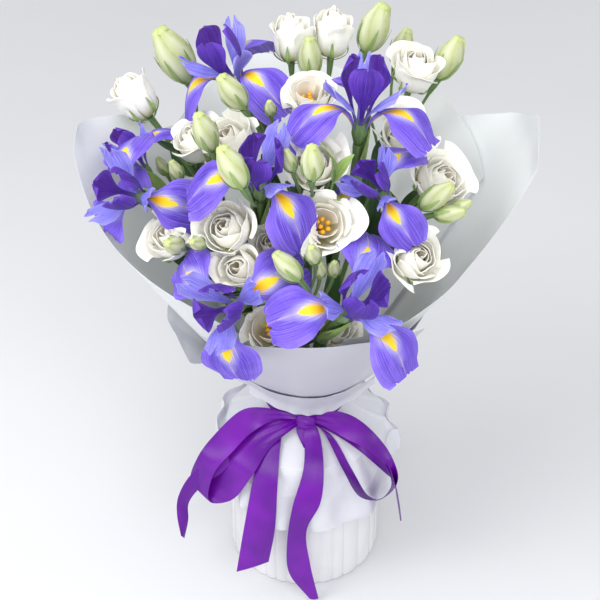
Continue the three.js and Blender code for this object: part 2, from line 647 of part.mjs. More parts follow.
// The outward direction at a point, square to the stem there.
function outwardOf(point, tangent, turn) {
  const out = new THREE.Vector3(point.x, point.y, 0.01).normalize().applyAxisAngle(tangent, rad(turn));
  return out.addScaledVector(tangent, -out.dot(tangent)).normalize();
}

function irisStem(iris, place, grow) {
  const axis = direction(iris.faces);
  const base = fromTie(iris.at).addScaledVector(axis, -BLOOM_SEAT * iris.size - CLEARANCE);
  const line = stemLine(place, base, axis);
  return joined([stem(place, line, IRIS_STEM, SPATHE, grow), leaf(line, IRIS_LEAF, grow)]);
}

function sprayStem(spray, place, grow) {
  const ends = spray.map((head) => {
    const axis = direction(head.faces);
    const back = head.bloom ? 0.5 * head.height + CLEARANCE : 0.5 * head.length;
    return { head, axis, base: fromTie(head.at).addScaledVector(axis, -back) };
  });
  const main = stemLine(place, ends[0].base, ends[0].axis);
  const parts = [stem(place, main, SPRAY_STEM, CALYX, grow)];
  for (const { head, axis, base } of ends.slice(1)) {
    const start = main.getPoint(head.fork);
    const length = base.distanceTo(start);
    const curve = new THREE.CubicBezierCurve3(
      start,
      start.clone().addScaledVector(main.getTangent(head.fork), 0.4 * length),
      base.clone().addScaledVector(axis, -0.35 * length),
      base,
    );
    const stations = [0, 0.4, 0.8].map((share) => [curve.getPoint(share), BRANCH]);
    if (head.bloom) stations.push([base, CALYX]);
    else
      for (const [r, z] of BUD_PROFILE)
        stations.push([base.clone().addScaledVector(axis, z * head.length), r * head.length]);
    parts.push(tube(stations, head.bloom ? 4 : 5, grow));
  }
  parts.push(leaf(main, SPRAY_LEAF, grow));
  return joined(parts);
}

// ---------------------------------------------------------------- vase, water, wrapping, ribbon

function vase() {
  const { radius, height, wall, floor, pleats, pleatDepth } = VASE;
  const shape = new THREE.Shape();
  const steps = pleats * 2;
  for (let i = 0; i < steps; i++) {
    const a = (2 * Math.PI * i) / steps;
    const r = radius - (i % 2 ? pleatDepth : 0);
    if (i) shape.lineTo(r * Math.cos(a), r * Math.sin(a));
    else shape.moveTo(r, 0);
  }
  const outside = toSolid(new THREE.ExtrudeGeometry(shape, { depth: height, bevelEnabled: false }));
  const bore = new THREE.CylinderGeometry(radius - wall, radius - wall - BORE_TAPER, height, 48);
  bore.rotateX(Math.PI / 2).translate(0, 0, height / 2 + floor);
  return outside.subtract(toSolid(bore));
}

function water() {
  const { radius, wall, floor } = VASE;
  const depth = WATER.top - floor - WATER.gap;
  const r = radius - wall - BORE_TAPER - WATER.gap;
  const body = new THREE.CylinderGeometry(r, r, depth, 32);
  body.rotateX(Math.PI / 2).translate(0, 0, floor + WATER.gap + depth / 2);
  return toSolid(body);
}

function bowlRadius(z) {
  const share = THREE.MathUtils.clamp((z - BOWL.bottom) / (BOWL.top - BOWL.bottom), 0, 1);
  return BOWL.neck + (BOWL.rim - BOWL.neck) * share ** BOWL.power;
}

function wrapSheet(sheet, grow) {
  const at = (u, v) => {
    const a = rad(lerp(sheet.from, sheet.to, v) * FOLD);
    const z = lerp(along(sheet.foot, v), along(sheet.top, v), u ** ROW_CROWDING);
    const r = bowlRadius(z) + lerp(sheet.footOut, along(sheet.out, v), smooth(u, 0, 0.6));
    return new THREE.Vector3(r * Math.cos(a), r * Math.sin(a), z);
  };
  return slab(at, 4, sheet.to - sheet.from, SHEET_THICKNESS, grow);
}

function paperWrap(grow) {
  const { out, rim, flare, hem, neck, skirt, pleats, pleatDepth } = PAPER;
  const rowsAbove = 3;
  const rows = rowsAbove + skirt.length;
  const neckShare = rowsAbove / rows;
  const at = (u, v) => {
    const turn = ((v % 1) + 1) % 1;
    let r;
    let z;
    if (u <= neckShare) {
      const share = u / neckShare;
      z = lerp(neck[1], along([...rim, rim[0]], turn), (1 - share) ** ROW_CROWDING);
      r = Math.max(bowlRadius(z) + out - 3 * share, neck[0]);
      r += along([...flare, flare[0]], turn) * (1 - share) ** 2;
    } else {
      const share = (u - neckShare) / (1 - neckShare);
      r = along([neck, ...skirt].map((p) => p[0]), share);
      z = along([neck, ...skirt].map((p) => p[1]), share);
      r += pleatDepth * smooth(share, 0.6, 0.8) * (1 + Math.cos(2 * Math.PI * pleats * turn));
      z += (along([...hem, hem[0]], turn) - skirt[skirt.length - 1][1]) * smooth(share, 0.6, 1);
    }
    const a = 2 * Math.PI * v;
    return new THREE.Vector3(r * Math.cos(a), r * Math.sin(a), z);
  };
  return slab(at, rows, pleats * 2, SHEET_THICKNESS, grow, true);
}

// The radius of the skirt's outside at a height, where the ribbon lies on it.
function skirtRadius(z) {
  const profile = [PAPER.neck, ...PAPER.skirt];
  const i = profile.findIndex((p) => p[1] <= z);
  if (i < 0) return profile[profile.length - 1][0];
  if (i === 0) return profile[0][0];
  const [[r1, z1], [r2, z2]] = [profile[i - 1], profile[i]];
  return lerp(r1, r2, (z - z1) / (z2 - z1));
}

function onSkirt(azimuth, z, standOff) {
  return direction([azimuth, 90]).multiplyScalar(skirtRadius(z) + standOff).setZ(z);
}

// A strip of ribbon between two edges, each through the same number of stations.
function strip(stations, grow) {
  const left = new THREE.CatmullRomCurve3(stations.map((s) => onSkirt(...s.slice(0, 3))));
  const right = new THREE.CatmullRomCurve3(stations.map((s) => onSkirt(...s.slice(3))));
  const at = (u, v) => left.getPoint(u).lerp(right.getPoint(u), v);
  return slab(at, stations.length - 1, 1, RIBBON.thickness, grow);
}

function ribbon(grow) {
  const [low, high] = RIBBON.band;
  const r = RIBBON.bandRadius;
  const bandRing = (u, v) =>
    new THREE.Vector3(r * Math.cos(2 * Math.PI * v), r * Math.sin(2 * Math.PI * v), lerp(low, high, u));
  const parts = [slab(bandRing, 1, 14, RIBBON.bandThickness, grow, true)];
  const knot = new THREE.SphereGeometry(1, 6, 4);
  knot.scale(...RIBBON.knot.map((half) => half + grow)).translate(...RIBBON.knotAt);
  parts.push(toSolid(knot));
  for (const stations of Object.values(RIBBON_STRIPS)) parts.push(strip(stations, grow));
  return joined(parts);
}

// ---------------------------------------------------------------- the assembly

const group = new THREE.Group();
const placed = [];

// Adds a piece, cut clear of the pieces already placed. "make" is called with the growth it needs.
function add(name, material, make, { cutsOthers = true } = {}) {
  let solid = make(0);
  for (const other of placed) {
    const a = solid.boundingBox();
    const b = other.box;
    const apart = [0, 1, 2].some((i) => a.min[i] > b.max[i] || b.min[i] > a.max[i]);
    if (apart) continue;
    solid = solid.subtract(other.fat);
    if (solid.intersect(other.solid).volume() > 0) solid = solid.subtract(other.solid);
  }
  solid = largest(solid);
  if (cutsOthers) {
    const fat = make(CLEARANCE);
    placed.push({ fat, solid, box: fat.boundingBox() });
  }
  const data = solid.getMesh();
  const geometry = new THREE.BufferGeometry();
  geometry.setAttribute("position", new THREE.BufferAttribute(data.vertProperties, 3));
  geometry.setIndex(new THREE.BufferAttribute(data.triVerts, 1));
  geometry.computeVertexNormals();
  const mesh = new THREE.Mesh(geometry, material);
  mesh.name = name;
  group.add(mesh);
}

const plants = [
  ...IRISES.map((iris) => ({ at: iris.at, iris })),
  ...SPRAYS.map((spray) => ({ at: spray[0].at, spray })),
];
const places = tiePlaces(plants);

add("vase", MATERIALS.vase, vase, { cutsOthers: false });
for (const [name, sheet] of Object.entries(SHEETS))
  add(name, MATERIALS.film, (grow) => wrapSheet(sheet, grow));
add("wrap_paper", MATERIALS.paper, paperWrap);
add("ribbon", MATERIALS.ribbon, ribbon);

let irisNumber = 0;
let sprayNumber = 0;
for (const plant of plants) {
  const place = places.get(plant);
  if (plant.iris) {
    irisNumber += 1;
    add(`iris_stem_${irisNumber}`, MATERIALS.stem, (grow) => irisStem(plant.iris, place, grow));
  } else {
    sprayNumber += 1;
    add(`lisianthus_spray_${sprayNumber}`, MATERIALS.stem, (grow) => sprayStem(plant.spray, place, grow));
  }
}
IRISES.forEach((iris, i) => add(`iris_bloom_${i + 1}`, MATERIALS.iris, (grow) => irisBloom(iris, grow)));
SPRAYS.flatMap((spray) => spray.filter((head) => head.bloom)).forEach((head, i) =>
  add(`lisianthus_bloom_${i + 1}`, MATERIALS.white, (grow) => lisianthusBloom(head, grow)),
);
add("water", MATERIALS.water, water, { cutsOthers: false });

export default group;
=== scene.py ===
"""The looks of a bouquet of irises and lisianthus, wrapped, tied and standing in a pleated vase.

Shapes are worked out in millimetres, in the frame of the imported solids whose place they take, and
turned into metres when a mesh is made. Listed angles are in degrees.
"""

import math

import bpy
import numpy as np
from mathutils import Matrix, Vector
from mathutils.bvhtree import BVHTree


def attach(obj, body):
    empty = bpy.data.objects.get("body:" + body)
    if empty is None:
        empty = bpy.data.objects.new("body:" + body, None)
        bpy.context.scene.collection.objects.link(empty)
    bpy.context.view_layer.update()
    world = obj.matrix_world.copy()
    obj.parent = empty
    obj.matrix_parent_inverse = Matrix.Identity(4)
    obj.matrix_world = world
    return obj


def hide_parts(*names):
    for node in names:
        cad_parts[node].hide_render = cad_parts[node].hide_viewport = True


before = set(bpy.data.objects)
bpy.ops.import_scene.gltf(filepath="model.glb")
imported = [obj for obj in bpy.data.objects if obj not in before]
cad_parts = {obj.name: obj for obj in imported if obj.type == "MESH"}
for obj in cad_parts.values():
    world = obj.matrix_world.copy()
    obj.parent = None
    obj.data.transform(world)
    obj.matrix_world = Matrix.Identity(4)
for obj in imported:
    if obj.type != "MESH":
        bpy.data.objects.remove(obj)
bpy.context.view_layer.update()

MM = 0.001
UP = np.array([0, 0, 1.0])
TIE = 195.0  # height of the tie
STEM_FOOT = 12.0  # height of the stems' cut ends
FOOT_SPREAD, FOOT_TWIST = 2.7, 50.0  # how the stems fan out and turn below the tie
RING_RADII = (0.0, 8.5, 17.0)  # rings in which the stems pass the tie
# Radii of the stems, the sprays' branches and the seats of the blooms.
IRIS_STEM, SPRAY_STEM, BRANCH, CALYX, SPATHE = 3.0, 2.4, 1.3, 3.2, 4.4
BLOOM_SEAT = 9.0  # length of the tube below the petals of an iris of size 1
CLEARANCE = 0.35  # gap between a bloom and the stem that bears it
# Thicknesses.
PETAL, LEAF, SEPAL_LEAF, FILM, SHEET, STRIP, BAND = 0.35, 0.5, 0.4, 0.15, 0.2, 0.25, 0.3

# ---------------- where each flower stands
# (azimuth, lean, reach) from the tie, (azimuth, lean) of the flower's axis, first fall, size, droop
IRISES = [
    ((134.5, 15.5, 284), (-160, 24), -50, 1.08, 0.9),
    ((-43.5, 11.5, 294), (-12, 4), -28, 1.1, 0.4),
    ((171.5, 32.5, 253), (-173, 34), 27, 0.78, 0.4),
    ((-165.8, 31.4, 260), (-120, 52), -26, 1.05, 0.9),
    ((-112.2, 19.7, 278), (-84, 25), -56, 1.08, 0.9),
    ((-51, 22, 271), (-125, 38), 178, 0.88, 0.9),
    ((-112.5, 36.8, 229), (-109, 57), -105, 1.15, 0.9),
    ((-78.5, 38.4, 235), (-62, 37), 86, 1.15, 0.22),
]


def bloom(at, faces, radius, height, openness, fork=None, style="cup"):
    """A white bloom; fork is the share of the main stem where its branch starts."""
    return dict(at=at, faces=faces, radius=radius, height=height, open=openness, fork=fork, style=style)


def bud(at, faces, length, fork):
    return dict(at=at, faces=faces, length=length, fork=fork)


SPRAYS = [
    [
        bloom((85.1, 5.1, 282), (-90, 20), 22, 36, 0.5, style="eye"),
        bloom((97.9, 16.2, 318), (100, 4), 19, 42, 0.1, 0.5),
        bloom((76.8, 18.3, 321), (60, 6), 19, 44, 0.05, 0.4),
        bud((86.4, 11.6, 308), (100, 4), 36, 0.6),
    ],
    [
        bloom((39.0, 23.2, 306), (-50, 16), 23, 38, 0.45),
        bud((58.7, 20.2, 331), (10, 21), 46, 0.6),
        bud((56.2, 29.1, 316), (20, 18), 35, 0.7),
        bud((38.2, 29.4, 323), (15, 27), 42, 0.5),
        bloom((2.7, 17.6, 273), (-60, 30), 25, 34, 0.8, 0.4),
    ],
    [
        bloom((-22.7, 25.6, 272), (-40, 42), 26, 34, 0.9, style="ruffled"),
        bud((-37.9, 27.2, 286), (0, 50), 32, 0.6),
        bud((-36.8, 30.5, 280), (-12, 76), 25, 0.5),
        bud((-32.6, 30.8, 284), (2, 66), 19, 0.55),
        bloom((-51.2, 32.7, 254), (-62, 46), 23, 34, 0.7, 0.4, style="rose"),
    ],
    [
        bloom((151.6, 33.7, 303), (175, 34), 20, 44, 0.25),
        bud((140.8, 26.9, 322), (176, 26), 56, 0.65),
        bud((-146.7, 17.7, 311), (-170, 16), 36, 0.55),
        bloom((168.8, 20.9, 262), (-160, 28), 22, 34, 0.6, 0.45),
    ],
    [
        bloom((-148.4, 32.1, 243), (-140, 36), 23, 30, 0.8),
        bud((-136.2, 33, 264), (-120, 52), 26, 0.6),
        bud((-125.5, 31.6, 277), (-120, 50), 20, 0.7),
        bud((-170.4, 24.3, 263), (-170, 20), 20, 0.5),
        bud((165.8, 30.7, 248), (180, 24), 18, 0.55),
    ],
    [
        bloom((-84.4, 14.9, 289), (-88, 36), 24, 32, 0.85),
        bud((-97.2, 18.7, 317), (180, 14), 20, 0.7),
        bud((-87.7, 20.4, 327), (-90, 6), 32, 0.75),
        bloom((-83.3, 23.8, 267), (-78, 48), 25, 30, 1.0, 0.5, style="eye"),
        bud((-164.8, 5.8, 294), (-100, 20), 17, 0.6),
        bloom((-107.8, 22.7, 228), (-100, 40), 17, 26, 0.4, 0.4),
    ],
    [
        bloom((-162.2, 13.3, 274), (-120, 30), 24, 36, 0.5),
        bud((-113.6, 23.9, 339), (178, 24), 38, 0.7),
        bloom((-121.7, 26.3, 262), (-112, 40), 23, 34, 0.5, 0.45, style="rose"),
        bud((-167.2, 11, 316), (-170, 30), 36, 0.7),
        bloom((-114.4, 30.9, 244), (-110, 50), 22, 28, 0.6, 0.3),
    ],
    [
        bloom((-103.5, 38.9, 195), (-96, 40), 21, 30, 0.55, style="hollow"),
        bud((-95.6, 32.1, 276), (170, 40), 30, 0.6),
        bud((-87.8, 30.3, 280), (-110, 24), 22, 0.65),
        bud((-85.1, 30.7, 254), (-90, 20), 17, 0.6),
        bud((-80.1, 30.4, 252), (-80, 20), 18, 0.55),
        bloom((-77.0, 37.3, 176), (-74, 44), 20, 26, 0.5, 0.4),
    ],
]

# ---------------- vectors and curves


def smooth(x, low, high):
    t = np.clip((np.asarray(x, float) - low) / (high - low), 0, 1)
    return t * t * (3 - 2 * t)


def lerp(a, b, t):
    return a + (b - a) * t


def unit(v):
    v = np.asarray(v, float)
    return v / np.maximum(np.linalg.norm(v, axis=-1, keepdims=True), 1e-12)


def direction(azimuth, lean):
    a, b = math.radians(azimuth), math.radians(lean)
    return np.array([math.sin(b) * math.cos(a), math.sin(b) * math.sin(a), math.cos(b)])


def from_tie(at):
    return direction(at[0], at[1]) * at[2] + (0, 0, TIE)


def placing(origin, axis, azimuth, size=1.0):
    """A function that takes points of a flower's own frame to their place."""
    x = direction(azimuth, 90)
    x = unit(x - axis * x.dot(axis))
    y = np.cross(axis, x)
    turn = np.stack([x, y, axis]) * size
    return lambda p: p @ turn + origin


def rotate(v, axis, angle):
    a = math.radians(angle)
    axis = unit(axis)
    return v * math.cos(a) + np.cross(axis, v) * math.sin(a) + axis * axis.dot(v) * (1 - math.cos(a))


def bezier(control, t):
    c = np.asarray(control, float)
    t = np.asarray(t, float)[..., None]
    if len(c) == 3:
        return (1 - t) ** 2 * c[0] + 2 * (1 - t) * t * c[1] + t**2 * c[2]
    return (1 - t) ** 3 * c[0] + 3 * (1 - t) ** 2 * t * c[1] + 3 * (1 - t) * t**2 * c[2] + t**3 * c[3]


def bezier_tangent(control, t, step=1e-3):
    t = np.asarray(t)
    ahead, behind = np.clip(t + step, 0, 1), np.clip(t - step, 0, 1)
    return unit(bezier(control, ahead) - bezier(control, behind))


def along(values, t):
    """The value at t (0 to 1) of a smooth line through even steps of a list."""
    values = np.asarray(values, float)
    x = np.clip(t, 0, 1) * (len(values) - 1)
    i = np.minimum(np.floor(x).astype(int), len(values) - 2)
    return lerp(values[i], values[i + 1], smooth(x - i, 0, 1))


def even_steps(values, t):
    """The value at t (0 to 1) of straight lines through even steps of a list."""
    return np.interp(t, np.linspace(0, 1, len(values)), values)


def curve_through(points, t):
    """A smooth curve through points, at shares t of their count."""
    p = np.asarray(points, float)
    p = np.concatenate([[2 * p[0] - p[1]], p, [2 * p[-1] - p[-2]]])
    x = np.clip(t, 0, 1) * (len(points) - 1)
    i = np.minimum(np.floor(x).astype(int), len(points) - 2)
    w = (x - i)[:, None]
    p0, p1, p2, p3 = p[i], p[i + 1], p[i + 2], p[i + 3]
    gaps = [np.linalg.norm(b - a, axis=1, keepdims=True) for a, b in ((p0, p1), (p1, p2), (p2, p3))]
    d0, d1, d2 = [np.maximum(gap**0.5, 1e-4) for gap in gaps]
    m1 = ((p1 - p0) / d0 - (p2 - p0) / (d0 + d1) + (p2 - p1) / d1) * d1
    m2 = ((p2 - p1) / d1 - (p3 - p1) / (d1 + d2) + (p3 - p2) / d2) * d1
    cubic, square = 2 * p1 - 2 * p2 + m1 + m2, -3 * p1 + 3 * p2 - 2 * m1 - m2
    return cubic * w**3 + square * w**2 + m1 * w + p1


def polar(r, angle, z):
    """Points at radii and angles (in radians) round the z axis."""
    return np.stack(np.broadcast_arrays(r * np.cos(angle), r * np.sin(angle), z), -1)


def round_angles(count):
    return 2 * np.pi * np.arange(count) / count


def petal_map(rows, columns, foot=0.0):
    """The share along, and the place across from -1 to 1, of each point of a petal or leaf."""
    return np.meshgrid(np.linspace(foot, 1, rows), np.linspace(-1, 1, columns), indexing="ij")


# ---------------- meshes


def add_object(name, data):
    obj = bpy.data.objects.new(name, data)
    bpy.context.scene.collection.objects.link(obj)
    return obj


class Build:
    """Collects slabs, bodies and tubes, each with a map (along, across) and a tone, into a piece."""

    def __init__(self):
        self.points, self.faces, self.maps, self.slots, self.tones = [], [], [], [], []
        self.count = 0

    def _faces(self, corners, u, v, slot):
        """Adds faces; each of their corners is a way of numbering points, with rows and columns."""
        faces = np.stack([number(i, j) for number, i, j in corners], 1)
        places = np.stack([np.stack([u[i], v[j]], -1) for _, i, j in corners], 1)
        self.faces.extend(faces.tolist())
        self.maps.append(places.reshape(-1, 2))
        self.slots.extend([slot] * len(faces))

    def _points(self, p, tone):
        p = p.reshape(-1, 3)
        self.points.append(p)
        self.tones.append(np.full(len(p), tone))
        self.count += len(p)

    def grid(self, p, slot, tone, thick, ring=False):
        """A closed slab on a grid of points."""
        n, m = p.shape[:2]
        steps = m if ring else m - 1
        u, v = np.linspace(0, 1, n), np.linspace(0, 1, steps + 1)
        du = np.gradient(p, axis=0)
        dv = (np.roll(p, -1, 1) - np.roll(p, 1, 1)) / 2 if ring else np.gradient(p, axis=1)
        normal = unit(np.cross(du, dv))
        base = self.count
        self._points(np.stack([p + normal * thick / 2, p - normal * thick / 2]), tone)

        def top(i, j):
            return base + i * m + j % m

        def low(i, j):
            return base + n * m + i * m + j % m

        i, j = [a.ravel() for a in np.indices((n - 1, steps))]
        self._faces([(top, i, j), (top, i + 1, j), (top, i + 1, j + 1), (top, i, j + 1)], u, v, slot)
        self._faces([(low, i, j), (low, i, j + 1), (low, i + 1, j + 1), (low, i + 1, j)], u, v, slot)
        j = np.arange(steps)
        for row, a, b in ((0, j, j + 1), (n - 1, j + 1, j)):
            r = np.full(steps, row)
            self._faces([(top, r, a), (top, r, b), (low, r, b), (low, r, a)], u, v, slot)
        if not ring:
            i = np.arange(n - 1)
            for column, a, b in ((0, i + 1, i), (m - 1, i, i + 1)):
                c = np.full(n - 1, column)
                self._faces([(top, a, c), (top, b, c), (low, b, c), (low, a, c)], u, v, slot)

    def rings(self, p, slot, tone=0.5, u=None):
        """A closed body through rings of points, with a fan at each end."""
        n, m = p.shape[:2]
        u = np.linspace(0, 1, n) if u is None else u
        v = np.linspace(0, 1, m + 1)
        base = self.count
        self._points(np.concatenate([p.reshape(-1, 3), p[:1].mean(1), p[-1:].mean(1)]), tone)

        def at(i, j):
            return base + i * m + j % m

        def hub(i, j):
            return np.where(i == 0, base + n * m, base + n * m + 1)

        i, j = [a.ravel() for a in np.indices((n - 1, m))]
        self._faces([(at, i, j), (at, i, j + 1), (at, i + 1, j + 1), (at, i + 1, j)], u, v, slot)
        j = np.arange(m)
        for row, a, b in ((0, j + 1, j), (n - 1, j, j + 1)):
            r = np.full(m, row)
            self._faces([(at, r, a), (at, r, b), (hub, r, a)], u, v, slot)

    def tube(self, line, radii, sides, slot=0):
        """A tube of the given radii round a line of points."""
        line = np.asarray(line, float)
        radii = np.broadcast_to(np.asarray(radii, float), len(line))
        tangent = unit(np.gradient(line, axis=0))
        side = np.array([0.0, 1.0, 0.0] if abs(tangent[0][0]) > 0.9 else [1.0, 0.0, 0.0])
        angle = round_angles(sides)[:, None]
        length = np.concatenate([[0], np.cumsum(np.linalg.norm(np.diff(line, axis=0), axis=1))])
        rings = []
        for centre, r, t in zip(line, radii, tangent):
            side = unit(side - t * side.dot(t))
            other = np.cross(t, side)
            rings.append(centre + np.cos(angle) * r * side + np.sin(angle) * r * other)
        self.rings(np.array(rings), slot, u=length / length[-1])

    def piece(self, name, materials, replaces, slot, sharp=50):
        """One mesh object of all that was collected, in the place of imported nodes."""
        mesh = bpy.data.meshes.new(name)
        mesh.from_pydata((np.concatenate(self.points) * MM).tolist(), [], self.faces)
        maps = np.concatenate(self.maps).astype(np.float32).ravel()
        mesh.uv_layers.new(name="petal").uv.foreach_set("vector", maps)
        tone = mesh.attributes.new("tone", "FLOAT", "POINT")
        tone.data.foreach_set("value", np.concatenate(self.tones).astype(np.float32))
        for m in materials:
            mesh.materials.append(m)
        mesh.polygons.foreach_set("material_index", np.array(self.slots, np.int32))
        mesh.polygons.foreach_set("use_smooth", np.ones(len(mesh.polygons), bool))
        mesh.set_sharp_from_angle(angle=math.radians(sharp))
        mesh.update()
        obj = add_object(name, mesh)
        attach(obj, "root")
        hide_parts(*replaces)
        return obj


class Crowd:
    """The pieces that already stand. Iris petals stop short of them; white petals and leaves give way."""

    def __init__(self):
        self.pieces = []

    def add(self, piece):
        points = np.empty(len(piece.data.vertices) * 3)
        piece.data.vertices.foreach_get("co", points)
        points = points.reshape(-1, 3) / MM
        tree = BVHTree.FromPolygons(points.tolist(), [tuple(f.vertices) for f in piece.data.polygons])
        self.pieces.append((tree, points.min(0), points.max(0)))

    def near(self, p, gap):
        """The pieces whose boxes reach into the box of the points."""
        low, high = p.reshape(-1, 3).min(0) - gap, p.reshape(-1, 3).max(0) + gap
        return [tree for tree, a, b in self.pieces if np.all(a < high) and np.all(b > low)]

    def free_share(self, p, gap=1.5, least=0.4):
        """How far along each column of a petal's points, past its root, nothing is in its way."""
        near = self.near(p, gap)
        rows, columns = p.shape[:2]
        share = np.ones(columns)
        for j in range(columns):
            for i in range(rows // 5, rows - 1):
                step = Vector(p[i + 1, j] - p[i, j])
                origin = Vector(p[i, j])
                if any(tree.ray_cast(origin, step, step.length + gap)[3] is not None for tree in near):
                    share[j] = max(least, i / (rows - 1))
                    break
        padded = np.pad(share, 2, mode="edge")
        lowest = np.min([padded[k : k + columns] for k in range(5)], axis=0)
        padded = np.pad(lowest, 1, mode="edge")
        return np.minimum(lowest, (padded[:-2] + padded[2:]) / 2)

    def give_way(self, start, p, gap=0.8, least=0.45):
        """Draws points back toward their starts where a piece stands in between."""
        near = self.near(p, gap)
        share = np.ones(p.shape[:2])
        for i, j in np.ndindex(share.shape):
            line = Vector(p[i, j] - start[i, j])
            reach = line.length
            if reach < 2:
                continue
            origin = Vector(start[i, j])
            for tree in near:
                distance = tree.ray_cast(origin, line, reach + gap)[3]
                if distance is not None:
                    share[i, j] = min(share[i, j], max(least, (distance - gap) / reach))
        for _ in range(2):
            padded = np.pad(share, 1, mode="edge")
            mean = (padded[:-2, 1:-1] + padded[2:, 1:-1] + padded[1:-1, :-2] + padded[1:-1, 2:]) / 4
            share = np.minimum(share, mean)
        return start + (p - start) * share[..., None]


crowd = Crowd()

# ---------------- materials


def rgb(r, g, b):
    """An sRGB colour of 0 to 255 as the linear colour that the shaders take."""
    c = np.array([r, g, b]) / 255
    return (*np.where(c <= 0.04045, c / 12.92, ((c + 0.055) / 1.055) ** 2.4), 1.0)


class Shade:
    """A procedural material, whose inputs are set or linked by their names."""

    def __init__(self, name, roughness, **inputs):
        self.material = bpy.data.materials.new(name)
        self.material.use_nodes = True
        self.tree = self.material.node_tree
        self.shader = self.tree.nodes["Principled BSDF"]
        inputs = {key.replace("_", " "): value for key, value in inputs.items()}
        self.fill(self.shader, dict(inputs, Roughness=roughness))

    def fill(self, made, inputs):
        """Links or sets a node's inputs, each by its name or number."""
        for key, value in inputs.items():
            if isinstance(value, bpy.types.NodeSocket):
                self.tree.links.new(value, made.inputs[key])
            else:
                made.inputs[key].default_value = value
        return made

    def node(self, kind, *inputs, **settings):
        made = self.tree.nodes.new("ShaderNode" + kind)
        for key, value in settings.items():
            setattr(made, key, value)
        return self.fill(made, dict(enumerate(inputs)))

    def math(self, operation, *inputs, clamp=False):
        return self.node("Math", *inputs, operation=operation, use_clamp=clamp).outputs[0]

    def map(self):
        """The share along and the share across a petal, leaf or strip."""
        split = self.node("SeparateXYZ", self.node("UVMap", uv_map="petal").outputs[0])
        return split.outputs[0], split.outputs[1]

    def tone(self):
        return self.node("Attribute", attribute_name="tone").outputs["Fac"]

    def noise(self, scale, vector=None, detail=3.0, roughness=0.5, distortion=0.0):
        made = self.node("TexNoise")
        if vector is None:
            vector = self.node("TexCoord").outputs["Object"]
        inputs = dict(Scale=scale, Detail=detail, Roughness=roughness, Distortion=distortion)
        return self.fill(made, dict(inputs, Vector=vector)).outputs["Fac"]

    def streaks(self, fine, coarse, seed=7.0):
        """Veins that run along a petal: noise stretched on its map."""
        u, v = self.map()
        x = self.math("MULTIPLY", u, coarse)
        y = self.math("MULTIPLY", v, fine)
        z = self.math("MULTIPLY", self.tone(), seed)
        return self.noise(1.0, self.node("CombineXYZ", x, y, z).outputs[0], 2.0, 0.6)

    def ramp(self, value, *stops):
        """Colours, or greys given as one number, at places along a value."""
        made = self.node("ValToRGB", value)
        elements = made.color_ramp.elements
        while len(elements) < len(stops):
            elements.new(0.5)
        for element, (place, colour) in zip(elements, stops):
            element.position = place
            grey = isinstance(colour, (int, float))
            element.color = (colour, colour, colour, 1) if grey else colour
        return made.outputs[0]

    def mix(self, share, a, b):
        return self.fill(self.node("Mix", data_type="RGBA"), {0: share, 6: a, 7: b}).outputs[2]

    def finish(self, colour, height, strength, distance):
        """Links the colour and the bumps of a height, and returns the material."""
        inputs = dict(Strength=strength, Distance=distance, Height=height)
        bumps = self.fill(self.node("Bump"), inputs).outputs[0]
        self.fill(self.shader, {"Base Color": colour, "Normal": bumps})
        return self.material


def petal_shade(name, glow=0.25):
    light = dict(Subsurface_Weight=glow, Subsurface_Scale=0.004, Subsurface_Radius=(1.0, 0.9, 1.0))
    return Shade(name, 0.6, Specular_IOR_Level=0.3, **light)


def tapering(s, u, side, start, stop, half):
    """Distance from a petal's midline, as a share of a mark that narrows from start to stop."""
    left = s.math("DIVIDE", s.math("SUBTRACT", stop, u), stop - start, clamp=True)
    width = s.math("MAXIMUM", s.math("MULTIPLY", s.math("POWER", left, 0.75), half), 0.002)
    return s.math("DIVIDE", side, width)


# Marks on a fall: start and end along it, and half width as a share of the petal.
HALO = (0.47, 0.92, 0.34)
SIGNAL = (0.5, 0.76, 0.21)


def iris_material(name, dark, mid, light, signal):
    """Violet petals with fine veins, and on a fall the yellow signal with its white halo."""
    s = petal_shade(name)
    u, v = s.map()
    veins = s.streaks(104.0, 1.6)
    base = s.ramp(veins, (0.34, dark), (0.45, mid), (0.7, light))
    side = s.math("ABSOLUTE", s.math("SUBTRACT", v, 0.5))
    rims = s.math("ADD", s.ramp(side, (0.3, 0.0), (0.5, 0.5)), s.ramp(u, (0.75, 0.0), (1.0, 0.25)))
    base = s.mix(rims, base, light)
    patches = s.ramp(s.noise(70.0, detail=2.0), (0.42, 0.0), (0.68, 0.3))
    base = s.mix(patches, base, dark)
    if signal:
        rough = s.math("MULTIPLY", s.math("SUBTRACT", veins, 0.5), 2.6)
        halo = s.math("ADD", tapering(s, u, side, *HALO), rough)
        halo = s.ramp(halo, (0.1, 1.0), (1.0, 0.0))
        halo = s.math("MULTIPLY", halo, s.ramp(u, (0.58, 1.0), (0.8, 0.2)))
        base = s.mix(halo, base, rgb(230, 232, 255))
        yellow = s.math("ADD", tapering(s, u, side, *SIGNAL), rough)
        yellow = s.ramp(yellow, (0.7, 1.0), (1.0, 0.0))
        base = s.mix(yellow, base, s.ramp(u, (0.46, rgb(255, 178, 10)), (0.64, rgb(255, 214, 28))))
    base = s.mix(s.ramp(u, (0.0, 0.7), (0.2, 0.0)), base, rgb(104, 110, 140))
    return s.finish(base, veins, 0.3, 0.0006)


INNER_TONE = 2  # added to the tone of the inner petals of a bloom that shows its throat


